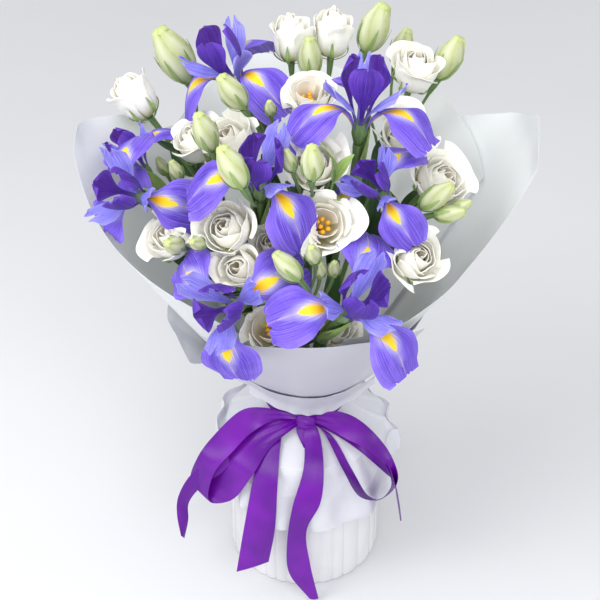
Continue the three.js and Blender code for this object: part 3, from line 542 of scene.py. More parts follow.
def lisianthus_material():
    """White petals, green at the foot, olive in an open throat (partly painted shade) and creamier in the
    middle.
    """
    s = petal_shade("lisianthus_petal", 0.1)
    u, _ = s.map()
    veins = s.streaks(38.0, 1.8)
    base = s.ramp(u, (0.06, rgb(140, 160, 60)), (0.24, rgb(228, 228, 180)), (0.45, rgb(255, 254, 246)))
    base = s.mix(s.ramp(veins, (0.36, 0.14), (0.52, 0.0)), base, rgb(216, 206, 190))
    inner = s.math("GREATER_THAN", s.tone(), INNER_TONE - 0.5)
    # The inner petals of an open bloom turn dark olive toward the foot: partly the throat's own green,
    # partly painted shade deep in the cup.
    throat_olive_and_shade = s.math("MULTIPLY", inner, s.ramp(u, (0.2, 0.95), (0.62, 0.0)))
    base = s.mix(throat_olive_and_shade, base, rgb(132, 118, 30))
    cream = s.math("FRACT", s.math("MULTIPLY", s.tone(), 0.999))
    base = s.mix(s.math("MULTIPLY", cream, 0.5), base, rgb(250, 240, 216))
    return s.finish(base, veins, 0.22, 0.0005)


def green_material(name, dark, light, fine=30.0, roughness=0.45):
    s = Shade(name, roughness, Subsurface_Weight=0.08, Subsurface_Scale=0.001)
    veins = s.streaks(fine, 3.0)
    base = s.ramp(veins, (0.35, dark), (0.65, light))
    base = s.mix(s.math("MULTIPLY", s.tone(), 0.5), base, light)
    return s.finish(base, veins, 0.3, 0.0004)


def bud_material():
    """Pale cream petals furled to a blunt tip, greener at the foot."""
    s = petal_shade("bud_petal")
    u, v = s.map()
    turn = s.math("ADD", s.math("MULTIPLY", v, 5.0), s.math("MULTIPLY", u, 0.8))
    edge = s.math("FRACT", turn)
    cream, pale = rgb(180, 187, 138), rgb(203, 208, 174)
    base = s.ramp(edge, (0.0, rgb(168, 182, 108)), (0.08, cream), (0.6, pale), (0.97, cream))
    base = s.mix(s.ramp(u, (0.0, 0.8), (0.4, 0.0)), base, rgb(176, 198, 120))
    base = s.mix(s.ramp(u, (0.82, 0.0), (1.0, 0.55)), base, rgb(186, 200, 110))
    return s.finish(base, s.streaks(60.0, 3.0), 0.25, 0.0004)


def film_material(name, low, high, alpha):
    """Frosted film: milky, with light coming through it."""
    s = Shade(name, 0.42, Alpha=alpha, Specular_IOR_Level=0.3)
    haze = s.ramp(s.noise(9.0), (0.3, low), (0.7, high))
    return s.finish(haze, s.noise(60.0, detail=4.0), 0.08, 0.0008)


def paper_material():
    s = Shade("white_paper", 0.6)
    soft = s.ramp(s.noise(16.0, detail=4.0), (0.3, rgb(210, 211, 218)), (0.7, rgb(222, 223, 229)))
    return s.finish(soft, s.noise(26.0, detail=2.0, distortion=0.6), 0.5, 0.004)


def ribbon_material():
    s = Shade("purple_satin", 0.32, Anisotropic=0.6, Specular_IOR_Level=0.35)
    threads = s.streaks(260.0, 4.0)
    # Where this noise is high the satin turns a paler violet: painted sheen.
    shade = s.noise(24.0, detail=2.0)
    base = s.ramp(threads, (0.3, rgb(78, 0, 124)), (0.7, rgb(104, 2, 154)))
    base = s.mix(s.ramp(shade, (0.4, 0.0), (0.7, 0.5)), base, rgb(136, 22, 188))
    return s.finish(base, threads, 0.2, 0.0003)


def vase_material():
    s = Shade("white_glaze", 0.25, Coat_Weight=0.3, Coat_Roughness=0.15)
    cloud = s.ramp(s.noise(16.0, detail=4.0), (0.3, rgb(216, 216, 219)), (0.7, rgb(229, 229, 231)))
    return s.finish(cloud, s.noise(130.0), 0.05, 0.0006)


def water_material():
    s = Shade("water", 0.03, Transmission_Weight=0.9, IOR=1.33)
    tint = s.ramp(s.noise(12.0), (0.3, rgb(214, 234, 232)), (0.7, rgb(236, 246, 246)))
    s.fill(s.shader, {"Base Color": tint})
    return s.material


FALL = iris_material("iris_fall", rgb(50, 20, 150), rgb(88, 56, 200), rgb(144, 118, 238), True)
# The standards' deeper violet is partly their own colour and partly painted shade, for the shadow they
# stand in inside the bloom.
STANDARD = iris_material("iris_standard", rgb(30, 8, 92), rgb(54, 22, 136), rgb(104, 62, 192), False)
STYLE = iris_material("iris_style", rgb(72, 62, 190), rgb(114, 106, 226), rgb(172, 170, 250), False)
WHITE = lisianthus_material()
STEM = green_material("stem_green", rgb(74, 104, 56), rgb(112, 140, 84), 20.0)
BLADE = green_material("leaf_green", rgb(24, 50, 26), rgb(62, 100, 46), 36.0)
SEPAL = green_material("sepal_green", rgb(104, 136, 66), rgb(158, 184, 108), 12.0)
BUD = bud_material()
STAMEN = green_material("stamen_yellow", rgb(206, 132, 14), rgb(244, 190, 40), 12.0, 0.6)
FILMS = film_material("frosted_film", rgb(240, 243, 244), rgb(248, 250, 251), 0.72)
# The collar and cuff take the same frosted film made greyer and darker: painted shade of the stems behind
# it.
SHADED_COLLAR_FILM = film_material("collar_film_painted_shade", rgb(198, 198, 208), rgb(210, 210, 218), 0.86)
PAPER_SHADE = paper_material()
SATIN = ribbon_material()
GLAZE = vase_material()

# ---------------- petals


def strap(place, azimuth, spine, half_width, lift, notch, rows, columns, ruffle, rng):
    """A strap-like petal's points: its spine arches in the plane of its azimuth."""
    u, s = petal_map(rows, columns)
    wave = rng.uniform(0, 2 * np.pi, 5)
    cleft = notch * np.exp(-((s / 0.32) ** 2)) + 0.35 * notch * s**4
    frill = 0.02 * np.sin(7 * s + wave[3]) + 0.012 * np.sin(15 * s + wave[4])
    ripple = np.sin(7 * u + wave[0] + 1.8 * np.sign(s)) * s**2
    ripple = ripple + 0.5 * np.sin(13 * u + wave[1]) * np.abs(s) ** 3
    rise = lift(u, s) + ruffle * smooth(u, 0.3, 0.8) * ripple
    rise = rise - 0.5 * smooth(u, 0.1, 0.4) * np.exp(-((s / 0.12) ** 2))
    across = s * half_width(u) * (1 + 0.03 * np.sin(9 * u + wave[2] + s))
    a = math.radians(azimuth)

    def points(free):
        reach = u * (1 - (cleft + (frill - 0.02) * ruffle) * u**6) * free
        centre = bezier(spine, np.clip(reach, 0, 1))
        tangent = bezier_tangent(spine, reach)
        out = centre[..., 0] - tangent[..., 1] * rise
        high = centre[..., 1] + tangent[..., 0] * rise
        x = out * math.cos(a) - across * math.sin(a)
        y = out * math.sin(a) + across * math.cos(a)
        return place(np.stack([x, y, high], -1))

    return points(crowd.free_share(points(1.0)))


def fall_width(u):
    blade = lerp(2.2, 21.0, smooth(u, 0.24, 0.78))
    return blade * np.sqrt(1 - 0.74 * np.clip((u - 0.8) / 0.2, 0, 1) ** 2.6)


def fall_lift(u, s):
    return s * s * smooth(u, 0, 0.25) * lerp(3, -4.5, smooth(u, 0.25, 0.6))


STYLE_SPINE = [[2.6, 6], [7, 31], [23, 37], [32, 50]]
STANDARD_SPINE = [[3.2, 6], [11, 25], [19, 42], [13, 60]]


def style_width(u):
    return lerp(1.8, 9.6, smooth(u, 0.12, 0.62)) * np.sqrt(1 - 0.75 * smooth(u, 0.8, 1))


def style_lift(u, s):
    """A keel under the arm, and crests that roll outward."""
    return -4.5 * np.abs(s) ** 1.5 * smooth(u, 0.1, 0.5) + 5.5 * s * s * smooth(u, 0.74, 1)


def standard_width(u):
    blade = lerp(1.7, 12.5, smooth(u, 0.25, 0.8))
    return blade * np.sqrt(1 - 0.96 * np.clip((u - 0.76) / 0.24, 0, 1) ** 2.4)


def standard_lift(u, s):
    return 4.5 * s * s * u


def iris_petals(droop):
    """For the three kinds: turn, spine, width, lift, notch, rows, columns and ruffle."""
    fall_spine = [[4.2, 2.5], [15, 28], [34, 44 - 4 * droop], [61 - 9 * droop, 20 - 30 * droop]]
    return (
        (0, fall_spine, fall_width, fall_lift, 0.03, 30, 19, 1.5),
        (60, STANDARD_SPINE, standard_width, standard_lift, 0.06, 24, 13, 1.2),
        (0, STYLE_SPINE, style_width, style_lift, 0.26, 26, 17, 0.5),
    )


# The tube below the petals: heights and radii.
TUBE_Z = np.array([-9.0, -8.6, -4, 1, 5, 9, 9.4])[:, None]
TUBE_R = np.array([2.6, 3.2, 4.6, 6, 5.8, 5.0, 3.6])[:, None]


def iris_bloom(number, iris):
    at, faces, first, size, droop = iris
    rng = np.random.default_rng(100 + number)
    place = placing(from_tie(at), direction(*faces), first, size)
    made = Build()
    angle = round_angles(18)
    made.rings(place(polar(TUBE_R * (1 + 0.05 * np.cos(3 * angle)), angle, TUBE_Z)), 3)
    for k in range(3):
        sway = rng.uniform(-3, 3, 3)
        for slot, (turn, *form) in enumerate(iris_petals(droop)):
            points = strap(place, 120 * k + turn + sway[slot], *form, rng)
            made.grid(points, slot, rng.uniform(0, 1), PETAL)
    shades = [FALL, STANDARD, STYLE, STEM]
    return made.piece(f"iris_{number}_petals", shades, [f"iris_bloom_{number}"], "iris_petals")


def cup(place, azimuth, spine, half_angle, overlap, rng, wave, roll):
    """A petal that wraps round the flower's axis, with a softly waved rim that rolls outward."""
    u, s = petal_map(14, 17, 0.05)
    p = rng.uniform(0, 2 * np.pi, 4)
    crown = 0.15 * np.abs(s) ** 2.6 + 0.02 * np.sin(5 * s + p[3])
    centre = bezier(spine, u * (1 - crown))
    a = np.radians(azimuth + half_angle * s * (0.55 + 0.45 * np.sqrt(u)))
    edge = smooth(u, 0.72, 1)
    r = centre[..., 0] + overlap * s * u
    r = r + wave * u**3 * (0.8 * np.cos(3.6 * s + p[0]) + 0.3 * np.sin(7 * s + p[1]))
    curl = roll * (0.75 + 0.35 * np.sin(2.2 * s + p[2]))
    r = r + curl * edge**1.5
    z = centre[..., 1] + wave * u**3 * 0.5 * np.sin(3 * s + p[2]) - 0.55 * curl * edge**2.5
    middle = place(np.stack([0 * r, 0 * r, z], -1))
    return crowd.give_way(middle, place(polar(r, a, z)))


def stamens(made, place, height, spread, rng):
    """Five anthers and a two-lobed stigma, in the middle of an open bloom."""
    for k in range(6):
        a = 2 * np.pi * k / 6 + rng.uniform(-0.2, 0.2)
        lean = spread * (0.35 if k == 5 else 1)
        t = np.linspace(0, 1, 6)
        line = polar(lean * t, a, height * t)
        made.tube(place(line), 0.55, 6, 1)
        tip = np.stack([line[-1] + [0, 0, h] for h in (-0.5, 0.6, 2.2, 3.8, 4.6)])
        made.tube(place(tip), [0.8, 1.7, 2.1, 1.7, 0.6], 8, 1)


# For each style of bloom: petals, the middle's share of the radius and the wave of the rims.
STYLES = {
    "cup": (13, 0.22, 1.6),
    "eye": (13, 0.42, 1.6),
    "hollow": (9, 0.54, 1.6),
    "rose": (16, 0.22, 1.6),
    "ruffled": (18, 0.22, 2.6),
}
GOLDEN_ANGLE = 137.5


def lisianthus_bloom(number, head):
    """Petals one golden angle after another, from the furled middle to the open outside."""
    rng = np.random.default_rng(200 + number)
    radius, height, openness, style = head["radius"], head["height"], head["open"], head["style"]
    axis = direction(*head["faces"])
    place = placing(from_tie(head["at"]) - 0.5 * height * axis, axis, head["at"][0])
    rim = height * (1 - 0.12 * openness)
    tip = radius * (0.8 + 0.34 * openness)
    hollow = style in ("eye", "hollow")
    count, middle, frill = STYLES[style]
    made = Build()
    for k in range(count):
        share = k / (count - 1)
        wide = lerp(middle, 1, share**0.75)
        high = rim * lerp(1.0 if hollow else 1.06, min(0.98, 0.82 + 0.4 * openness), share)
        closed = 0.86 if hollow else 0.34
        belly = radius * wide
        mouth = belly * lerp(closed, tip / radius, smooth(share, 0.25, 1))
        spine = [[0, 0.6 * share], [belly, 0.04 * high], [belly, 0.72 * high], [mouth, high]]
        half = lerp(60 if hollow else 96, 44, share)
        wave = lerp(0.5, frill, share)
        roll = lerp(1.0, 3.2 + 4.5 * openness, share**1.5)
        tone = max(0.0, 1 - 1.7 * share) * rng.uniform(0.7, 1)
        tone += INNER_TONE if hollow and share < 0.5 else 0
        azimuth = 18 + GOLDEN_ANGLE * k + rng.uniform(-8, 8)
        made.grid(cup(place, azimuth, spine, half, 1.1, rng, wave, roll), 0, tone, PETAL)
    if hollow:
        stamens(made, place, 0.5 * height, 0.2 * radius, rng)
    replaced = [f"lisianthus_bloom_{number}"]
    return made.piece(f"lisianthus_{number}_petals", [WHITE, STAMEN], replaced, "white_petals")


# ---------------- stems, leaves and buds


def tie_places(reaches):
    """Where each stem passes the tie: the one that leans least in the middle, the rest in rings."""
    order = sorted(range(len(reaches)), key=lambda n: reaches[n][1])
    places = {}
    for radius, ring in zip(RING_RADII, (order[:1], order[1:7], order[7:])):
        ring = sorted(ring, key=lambda n: reaches[n][0])
        step = 360 / len(ring)
        first = sum(reaches[n][0] - i * step for i, n in enumerate(ring)) / len(ring)
        for i, n in enumerate(ring):
            places[n] = direction(first + i * step, 90) * radius
    return [places[n] for n in range(len(reaches))]


def stem_line(place, base, axis):
    neck = np.array([place[0], place[1], TIE])
    length = np.linalg.norm(base - neck)
    start = unit(unit(base - neck) + (0, 0, 1))
    return [neck, neck + start * 0.35 * length, base - axis * 0.24 * length, base]


def draw_stem(made, place, line, radius, end):
    foot = rotate(place * FOOT_SPREAD, UP, FOOT_TWIST) + (0, 0, STEM_FOOT)
    below = foot + (line[0] - foot) * np.linspace(0, 1, 8)[:-1, None]
    t = np.linspace(0, 1, 26)
    points = np.concatenate([below, bezier(line, t)])
    radii = np.concatenate([np.full(7, radius), radius + (end - radius) * smooth(t, 0.9, 1)])
    made.tube(points, radii, 12, 0)


LEAF_FOLD, LEAF_CURL = -0.25, 0.42  # how a leaf folds along its middle and bends outward


def draw_leaf(made, line, share, turn, length, half_width, tone, rng, slot=1, tip=1.0):
    base = bezier(line, share)
    axis = bezier_tangent(line, share)
    out = unit(rotate(unit(np.array([base[0], base[1], 0.01])), axis, turn))
    out = unit(out - axis * out.dot(axis))
    side = unit(np.cross(out, axis))
    middle = base + axis * 0.55 * length + out * 0.12 * length
    end = base + axis * 0.9 * length + out * LEAF_CURL * length
    u, s = petal_map(22, 9)
    width = half_width * np.sin(np.pi * (0.06 + 0.92 * u**tip)) ** 0.8
    wave = rng.uniform(0, 6)
    lift = LEAF_FOLD * width * s * s + 0.6 * np.sin(7 * u + wave) * s**2
    p = bezier([base, middle, end], u) + side * (s * width)[..., None] + out * lift[..., None]
    made.grid(crowd.give_way(np.broadcast_to(base, p.shape), p), slot, tone, LEAF)


def draw_spathe(made, base, axis, size, rng):
    """Two papery green sheaths that wrap the stem's end below an iris."""
    u, s = petal_map(16, 11)
    for k in range(2):
        place = placing(base - axis * 46 * size, axis, rng.uniform(0, 360) + 180 * k)
        a = 1.9 * s * (1 - 0.75 * u**2)
        r = (3.4 + 3.6 * np.sin(np.pi * np.minimum(u * 0.62, 1)) + 0.5 * k) * size
        z = (56 + 8 * k) * size * u * (1 - 0.1 * s**2)
        made.grid(place(polar(r, a, z)), 2, 0.3 + 0.3 * k, LEAF)


def iris_stem(number, iris, place):
    at, faces, _, size, _ = iris
    rng = np.random.default_rng(300 + number)
    axis = direction(*faces)
    base = from_tie(at) - axis * (BLOOM_SEAT * size + CLEARANCE)
    line = stem_line(place, base, axis)
    made = Build()
    draw_stem(made, place, line, IRIS_STEM, SPATHE)
    draw_leaf(made, line, 0.42, 150, 120, 8, rng.uniform(0, 1), rng)
    draw_spathe(made, base + axis * 4, axis, size, rng)
    return made.piece(f"iris_{number}_stem", [STEM, BLADE, SEPAL], [f"iris_stem_{number}"], "stems")


def draw_sepals(made, place, length, radius, rng, spread=0.0):
    """Five narrow sepals round a bud, or round a bloom's foot, of the given radius along them."""
    u, s = petal_map(12, 5)
    half = 1.6 * np.sin(np.pi * (0.12 + 0.85 * u)) ** 0.9
    r = radius(u) + 0.5 + spread * length * u**3
    for k in range(5):
        middle = 2 * np.pi * (k + rng.uniform(-0.08, 0.08)) / 5
        points = polar(r, middle + s * half / np.maximum(r, 2.5), length * u - 1.0)
        made.grid(place(points), 3, rng.uniform(0, 1), SEPAL_LEAF)


# A bud's heights and radii as shares of its length, and how much of it the sepals cover.
BUD_Z = np.array([0.0, 0.02, 0.06, 0.14, 0.24, 0.36, 0.5, 0.62, 0.74, 0.84, 0.92, 0.97, 1.0])
BUD_R = np.array([0.06, 0.09, 0.13, 0.2, 0.245, 0.27, 0.276, 0.258, 0.22, 0.174, 0.136, 0.12, 0.07])
BUD_COVER = 0.62


def draw_bud(made, base, axis, length, rng):
    """Five furled petals: a twisted body whose radius steps at each petal's edge."""
    place = placing(base, axis, rng.uniform(0, 360))
    z = even_steps(BUD_Z, np.linspace(0, 1, 26))
    r = np.interp(z, BUD_Z, BUD_R)
    angle = round_angles(40)
    twist = angle[None, :] * 5 + 2 * np.pi * 0.8 * z[:, None]
    saw = 0.5 - (twist / (2 * np.pi)) % 1
    step = 0.12 * smooth(z, 0.1, 0.6) + 0.3 * smooth(z, 0.8, 1)
    wide = length * r[:, None] * (1 + step[:, None] * saw)
    made.rings(place(polar(wide, angle, length * z[:, None])), 2, rng.uniform(0, 1), z)

    def radius(u):
        return length * np.interp(BUD_COVER * u, BUD_Z, BUD_R)

    draw_sepals(made, place, BUD_COVER * length, radius, rng, 0.06)


# A short leafy shoot of a spray: its tip, and the share along it, turn and length of each leaf.
SHOOTS = {6: ((22.0, -100.0, 490.0), ((0.97, -80, 32), (0.86, 100, 32), (0.62, 30, 24)))}


def branch_line(main, share, end, axis, back):
    """A curve from a share of the main stem to an end, which it reaches along an axis."""
    start = bezier(main, share)
    length = np.linalg.norm(end - start)
    tangent = bezier_tangent(main, share)
    return [start, start + tangent * 0.4 * length, end - axis * back * length, end]


def draw_shoot(made, main, tip, leaves, rng):
    line = branch_line(main, 0.6, np.array(tip), UP, 0.3)
    made.tube(bezier(line, np.linspace(0, 1, 16)), 1.0, 8)
    for share, turn, size in leaves:
        draw_leaf(made, line, share, turn, size, 0.17 * size, 0.9, rng, slot=3, tip=0.8)


def spray_stem(number, spray, place):
    """The stem to the first head, a branch to each of the others, buds, sepals and leaves."""
    rng = np.random.default_rng(400 + number)
    ends = []
    for head in spray:
        axis = direction(*head["faces"])
        back = 0.5 * head["height"] + CLEARANCE if "height" in head else 0.5 * head["length"]
        ends.append((head, axis, from_tie(head["at"]) - axis * back))
    main = stem_line(place, ends[0][2], ends[0][1])
    made = Build()
    draw_stem(made, place, main, SPRAY_STEM, CALYX)
    for head, axis, base in ends:
        if head["fork"] is not None:
            line = branch_line(main, head["fork"], base, axis, 0.35)
            t = np.linspace(0, 1, 18)
            end = CALYX if "height" in head else 0.1 * head["length"]
            made.tube(bezier(line, t), BRANCH + (end - BRANCH) * smooth(t, 0.86, 1), 10)
        if "length" in head:
            draw_bud(made, base, axis, head["length"], rng)
            continue
        spot = placing(base, axis, rng.uniform(0, 360))
        wide = 0.62 * head["radius"]

        def foot(u):
            return 3 + wide * np.sin(np.pi * np.minimum(u, 0.62)) ** 0.7

        draw_sepals(made, spot, 0.5 * head["height"], foot, rng)
    draw_leaf(made, main, 0.5, 60, 52, 12, rng.uniform(0, 1), rng, tip=0.8)
    for share, turn, size in ((0.62, 190, 46), (0.72, 320, 40), (0.8, 90, 30)):
        draw_leaf(made, main, share, turn, size, 0.24 * size, rng.uniform(0, 1), rng, tip=0.8)
    if number in SHOOTS:
        draw_shoot(made, main, *SHOOTS[number], rng)
    shades, replaced = [STEM, BLADE, BUD, SEPAL], [f"lisianthus_spray_{number}"]
    return made.piece(f"lisianthus_{number}_spray", shades, replaced, "stems")


# ---------------- vase and wrapping

# The bowl that the sheets form: radius and height at its neck and rim, and how it flares.
BOWL_NECK, BOWL_BOTTOM, BOWL_RIM, BOWL_TOP, BOWL_POWER = 26.0, 196.0, 184.0, 440.0, 0.9
FOLD = 360 / 28
# A sheet's first and last fold, how far out it stands along its width and at its foot, and the
# heights of its rim and of its foot.
SHEETS = {
    "wrap_film_back": (1, 13, [0, 0], 0.0, [395, 425, 424, 440, 402, 415], [200, 200]),
    "wrap_film_left": (
        11, 23, [3.4, 8, 14, 6, 3.4, 3.4], 3.4, [415, 452, 397, 366, 304, 304], [200, 200],
    ),
    "wrap_film_right": (-6, 4, [6.8, 6.8], 6.8, [348, 344, 362, 476, 431, 392], [200, 200]),
    "wrap_collar": (
        -10, -3, [18, 18], 11.3, [330, 346, 352, 352, 345, 318], [236, 218, 210, 212, 220, 236],
    ),
    "wrap_cuff": (
        -10, -3, [18.1, 18.1], 24.0, [258, 248, 240, 237, 246, 256], [232, 206, 196, 200, 232],
    ),
}
# The paper's stand-off from the bowl and, round it, its rim's heights and flare and its hem's heights.
PAPER_OUT = 11.0
PAPER_RIM = [318, 330, 300, 296, 300, 310, 284, 264, 300, 306, 300, 300]
PAPER_FLARE = [0, 0, 0, 0, 0, 4, 22, 28, 0, 0, 0, 3]
PAPER_HEM = [112, 120, 124, 124, 126, 132, 138, 116, 94, 86, 85, 92]
# Shares round the paper between which its flare ends, before the collar starts.
COLLAR_START = (0.61, 0.64)
# Radii and heights of the paper's neck and of its skirt.
PAPER_NECK = (34.0, 190.0)
SKIRT = [(34.0, 176.0), (56.0, 160.5), (73.4, 150.6), (82.0, 125.0), (85.0, 90.0)]
PAPER_PROFILE = [PAPER_NECK, *SKIRT]
PAPER_WAIST = 186  # height near the tie where folds and creases fade out
PLEATS = 14


def bowl_radius(z):
    share = np.clip((z - BOWL_BOTTOM) / (BOWL_TOP - BOWL_BOTTOM), 0, 1)
    return BOWL_NECK + (BOWL_RIM - BOWL_NECK) * share**BOWL_POWER


def crumple(x, y, seed, count):
    """Flat facets between creases: triangle waves that run different ways."""
    rng = np.random.default_rng(seed)
    total = np.zeros(np.broadcast(x, y).shape)
    for _ in range(count):
        a = rng.uniform(0, np.pi)
        k = rng.uniform(0.25, 1.0)
        phase = rng.uniform(0, 1)
        t = (x * math.cos(a) + y * math.sin(a)) * k + phase
        total = total + np.abs(2 * (t % 1) - 1) - 0.5
    return total / count**0.5


def unrolled(p, ring=False):
    """The longest row and the longest column of a sheet's points, in metres: the flat cut's size."""
    row = np.concatenate([p, p[:, :1]], 1) if ring else p
    width = np.linalg.norm(np.diff(row, axis=1), axis=-1).sum(1).max()
    length = np.linalg.norm(np.diff(p, axis=0), axis=-1).sum(0).max()
    return width * MM, length * MM


def wrap_sheet(name, index):
    """A film sheet gathered at its foot and draped above it, with its flat cut's size."""
    start, stop, out, foot_out, top, foot = SHEETS[name]
    columns = (stop - start) * 8 + 1
    u, v = np.meshgrid(np.linspace(0, 1, 34), np.linspace(0, 1, columns), indexing="ij")
    a = np.radians(lerp(start, stop, v) * FOLD)
    z = lerp(even_steps(foot, v), even_steps(top, v), u**1.6)
    r = bowl_radius(z) + lerp(foot_out, along(out, v), smooth(u, 0, 0.6))
    rng = np.random.default_rng(500 + index)
    phase = rng.uniform(0, 6, 4)
    gathers = np.sin(28 * a + phase[0]) * (1 - smooth(u, 0.0, 0.5))
    drape = np.sin(7 * a + phase[1] + 1.5 * u) + 0.5 * np.sin(13 * a + phase[2] - 2 * u)
    r = r + 0.7 * gathers + 0.7 * drape * smooth(u, 0.2, 0.9)
    p = polar(r, a, z)
    made = Build()
    made.grid(p, 0, 0.5, FILM)
    # The collar and cuff get the greyer film, whose darkness is painted shade.
    shade = FILMS if name.startswith("wrap_film") else SHADED_COLLAR_FILM
    return made.piece(name.replace("wrap_", "") + "_sheet", [shade], [name], "film", 70), unrolled(p)


def closed(values):
    """A list of values round the paper that ends where it starts."""
    return [*values, values[0]]


def paper_wrap():
    """Paper that stands round the films, is drawn in at the tie and hangs as a pleated skirt."""
    rows_above = 3
    neck_share = rows_above / (rows_above + len(SKIRT))
    columns = 280
    u, v = np.meshgrid(np.linspace(0, 1, 97), np.arange(columns) / columns, indexing="ij")
    above = np.clip(u / neck_share, 0, 1)
    below = np.clip((u - neck_share) / (1 - neck_share), 0, 1)
    z_up = lerp(PAPER_NECK[1], even_steps(closed(PAPER_RIM), v), (1 - above) ** 1.6)
    r_up = np.maximum(bowl_radius(z_up) + PAPER_OUT - 3 * above, PAPER_NECK[0])
    flare = even_steps(closed(PAPER_FLARE), v) * (1 - above) ** 2
    flare = flare * (1 - smooth(v, *COLLAR_START))
    r_low = along([r for r, z in PAPER_PROFILE], below)
    z_low = along([z for r, z in PAPER_PROFILE], below)
    turn = 2 * np.pi * PLEATS * v + 0.7 * np.sin(2 * np.pi * 3 * v)
    r_low = r_low + 2 * smooth(below, 0.6, 0.9) * (1 + np.cos(turn))
    hem = along(closed(PAPER_HEM), v) - SKIRT[-1][1]
    z_low = z_low + hem * smooth(below, 0.6, 1)
    up = u <= neck_share
    r, z = np.where(up, r_up, r_low), np.where(up, z_up, z_low)
    fan = 2 * np.pi * v
    gathers = 0.8 * np.cos(40 * fan + np.sin(5 * fan)) * np.exp(-(((z - 184) / 22) ** 2))
    folds = 1 - 2 * np.abs(np.sin(6.5 * fan + 0.8 * np.sin(3 * fan) + 0.008 * (z - 150)))
    from_waist = np.abs(z - PAPER_WAIST)
    gathers = gathers + 2.2 * folds * np.clip(from_waist / 30, 0, 1)
    creases = crumple(v * 15, z / 36, 700, 7) * np.clip(from_waist / 40, 0.15, 1)
    # Pushed in and out, but clear of the vase below the neck and of the films and collar above it.
    shift = np.clip(gathers + 5.5 * creases - 1, -lerp(0.8, 5, smooth(r, 74, 82)), 3.5)
    outside_films = bowl_radius(z) + lerp(6, 8.4, smooth(z, 192, 200))
    inside_collar = bowl_radius(z) + lerp(10.2, 15.5, smooth(z, 212, 275))
    r = np.where(up, np.clip(r + shift, outside_films, inside_collar) + flare, r + shift)
    p = polar(r, fan, z)
    made = Build()
    made.grid(p, 0, 0.5, SHEET, ring=True)
    paper = made.piece("paper_wrap_sheet", [PAPER_SHADE], ["wrap_paper"], "paper", 26)
    return paper, unrolled(p, True)


# The vase from its foot up the wall, over the lip and down the bore to its floor: radius, height
# and share of the pleats.
VASE_ROWS = [
    *[(58, 0, 0), (68.6, 0, 0.4), (70.2, 1.2, 0.8), (70.8, 3, 1)],
    *[(70.8, z, 1) for z in np.linspace(8, 142, 18)],
    *[(70.6, 146, 0.9), (70, 148.6, 0.6), (68.6, 150, 0.2), (67, 149.6, 0), (66.2, 148, 0)],
    *[(66, 144, 0), (65.6, 110, 0), (65.3, 60, 0), (65.1, 20, 0), (64.6, 10, 0), (62, 8, 0)],
    (30, 8, 0),
]
PLEAT_DEPTH = 2.2


def vase():
    """A cylinder pressed into upright pleats of uneven width, hollow, with a rounded lip."""
    a = round_angles(360)
    p = np.random.default_rng(9).uniform(0, 6, 3)
    bent = a + 0.05 * np.sin(3 * a + p[0]) + 0.035 * np.sin(7 * a + p[1])
    ridge = np.abs(np.cos(15 * bent)) ** 0.4
    made = Build()
    rings = [polar(r + w * PLEAT_DEPTH * (ridge - 0.6), a, z) for r, z, w in VASE_ROWS]
    made.rings(np.array(rings), 0)
    return made.piece("vase_body", [GLAZE], ["vase"], "vase", 40)


# ---------------- ribbon

# Stations along each strip: (azimuth, height, distance from the skirt) of its two edges.
RIBBON_STRIPS = {
    "left_loop": [
        (-95, 191, 9, -93, 185, 9), (-141, 190, 16, -129, 178, 14), (-164, 173, 24, -139, 169, 20),
        (-159, 161, 30, -140, 158, 24), (-154, 147, 33, -143, 137, 26), (-157, 111, 32, -143, 105, 26),
        (-151, 118, 22, -134, 111, 15), (-146, 147, 14, -123, 145, 12), (-143, 164, 9, -119, 163, 11),
        (-93, 188, 9, -92, 183, 9),
    ],
    "left_outer_tail": [
        (-95, 187, 8, -93, 184, 8), (-150, 168, 9, -136, 163, 8), (-149, 145, 22, -142, 136, 17),
        (-153, 128, 36, -151, 111, 28), (-155, 100, 46, -154, 90, 36), (-154, 80, 48, -153, 72, 38),
        (-151, 59, 48, -152, 52, 44),
    ],
    "left_tail": [
        (-97, 187, 8, -88, 187, 8), (-126, 168, 7, -114, 171, 7), (-127, 159, 8, -112, 163, 7),
        (-123, 141, 9, -107, 142, 8), (-123, 99, 16, -107, 94, 9), (-126, 36, 24, -111, 49, 9),
    ],
    "middle_loop": [
        (-95, 188, 8, -88, 188, 8), (-100, 174, 8, -81, 175, 8), (-91, 164, 7, -79, 165, 7),
    ],
    "right_tail": [
        (-94, 187, 10, -84, 187, 10), (-91, 173, 11, -75, 174, 11), (-91, 155, 9, -77, 155, 9),
        (-97, 123, 9, -81, 128, 10), (-100, 80, 9, -89, 96, 9), (-99, 38, 8, -87, 52, 8),
        (-87, 4, 8, -82, 4, 8),
    ],
    "right_loop": [
        (-86, 191, 9, -87, 185, 9), (-66, 198, 16, -68, 179, 14), (-43, 187, 24, -54, 169, 18),
        (-34, 169, 32, -45, 161, 24), (-37, 156, 34, -42, 150, 24), (-40, 139, 33, -37, 130, 18),
        (-46, 133, 34, -32, 106, 10), (-56, 134, 34, -40, 103, 9), (-63, 140, 30, -51, 118, 9),
        (-66, 155, 18, -59, 150, 8), (-70, 173, 10, -62, 168, 7), (-86, 187, 9, -86, 183, 9),
    ],
    "right_outer_tail": [
        (-86, 188, 8, -87, 184, 8), (-42, 164, 12, -50, 161, 8), (-41, 150, 26, -37, 131, 13),
        (-43, 139, 33, -32, 117, 14), (-45, 124, 38, -33, 97, 18), (-45, 102, 40, -35, 77, 24),
    ],
}


STRIP_COLUMNS = 11
BAND_RADIUS, BAND_FOOT, BAND_HEIGHT = 36.4, 178, 11
KNOT_CENTRE, KNOT_LONG, KNOT_DEEP = (1, -43.4, 186), 9.5, 8


def skirt_radius(z):
    heights = [-high for _, high in PAPER_PROFILE]
    return float(np.interp(-z, heights, [radius for radius, _ in PAPER_PROFILE]))


def on_skirt(azimuth, z, stand_off):
    return direction(azimuth, 90) * (skirt_radius(z) + stand_off) + (0, 0, z)


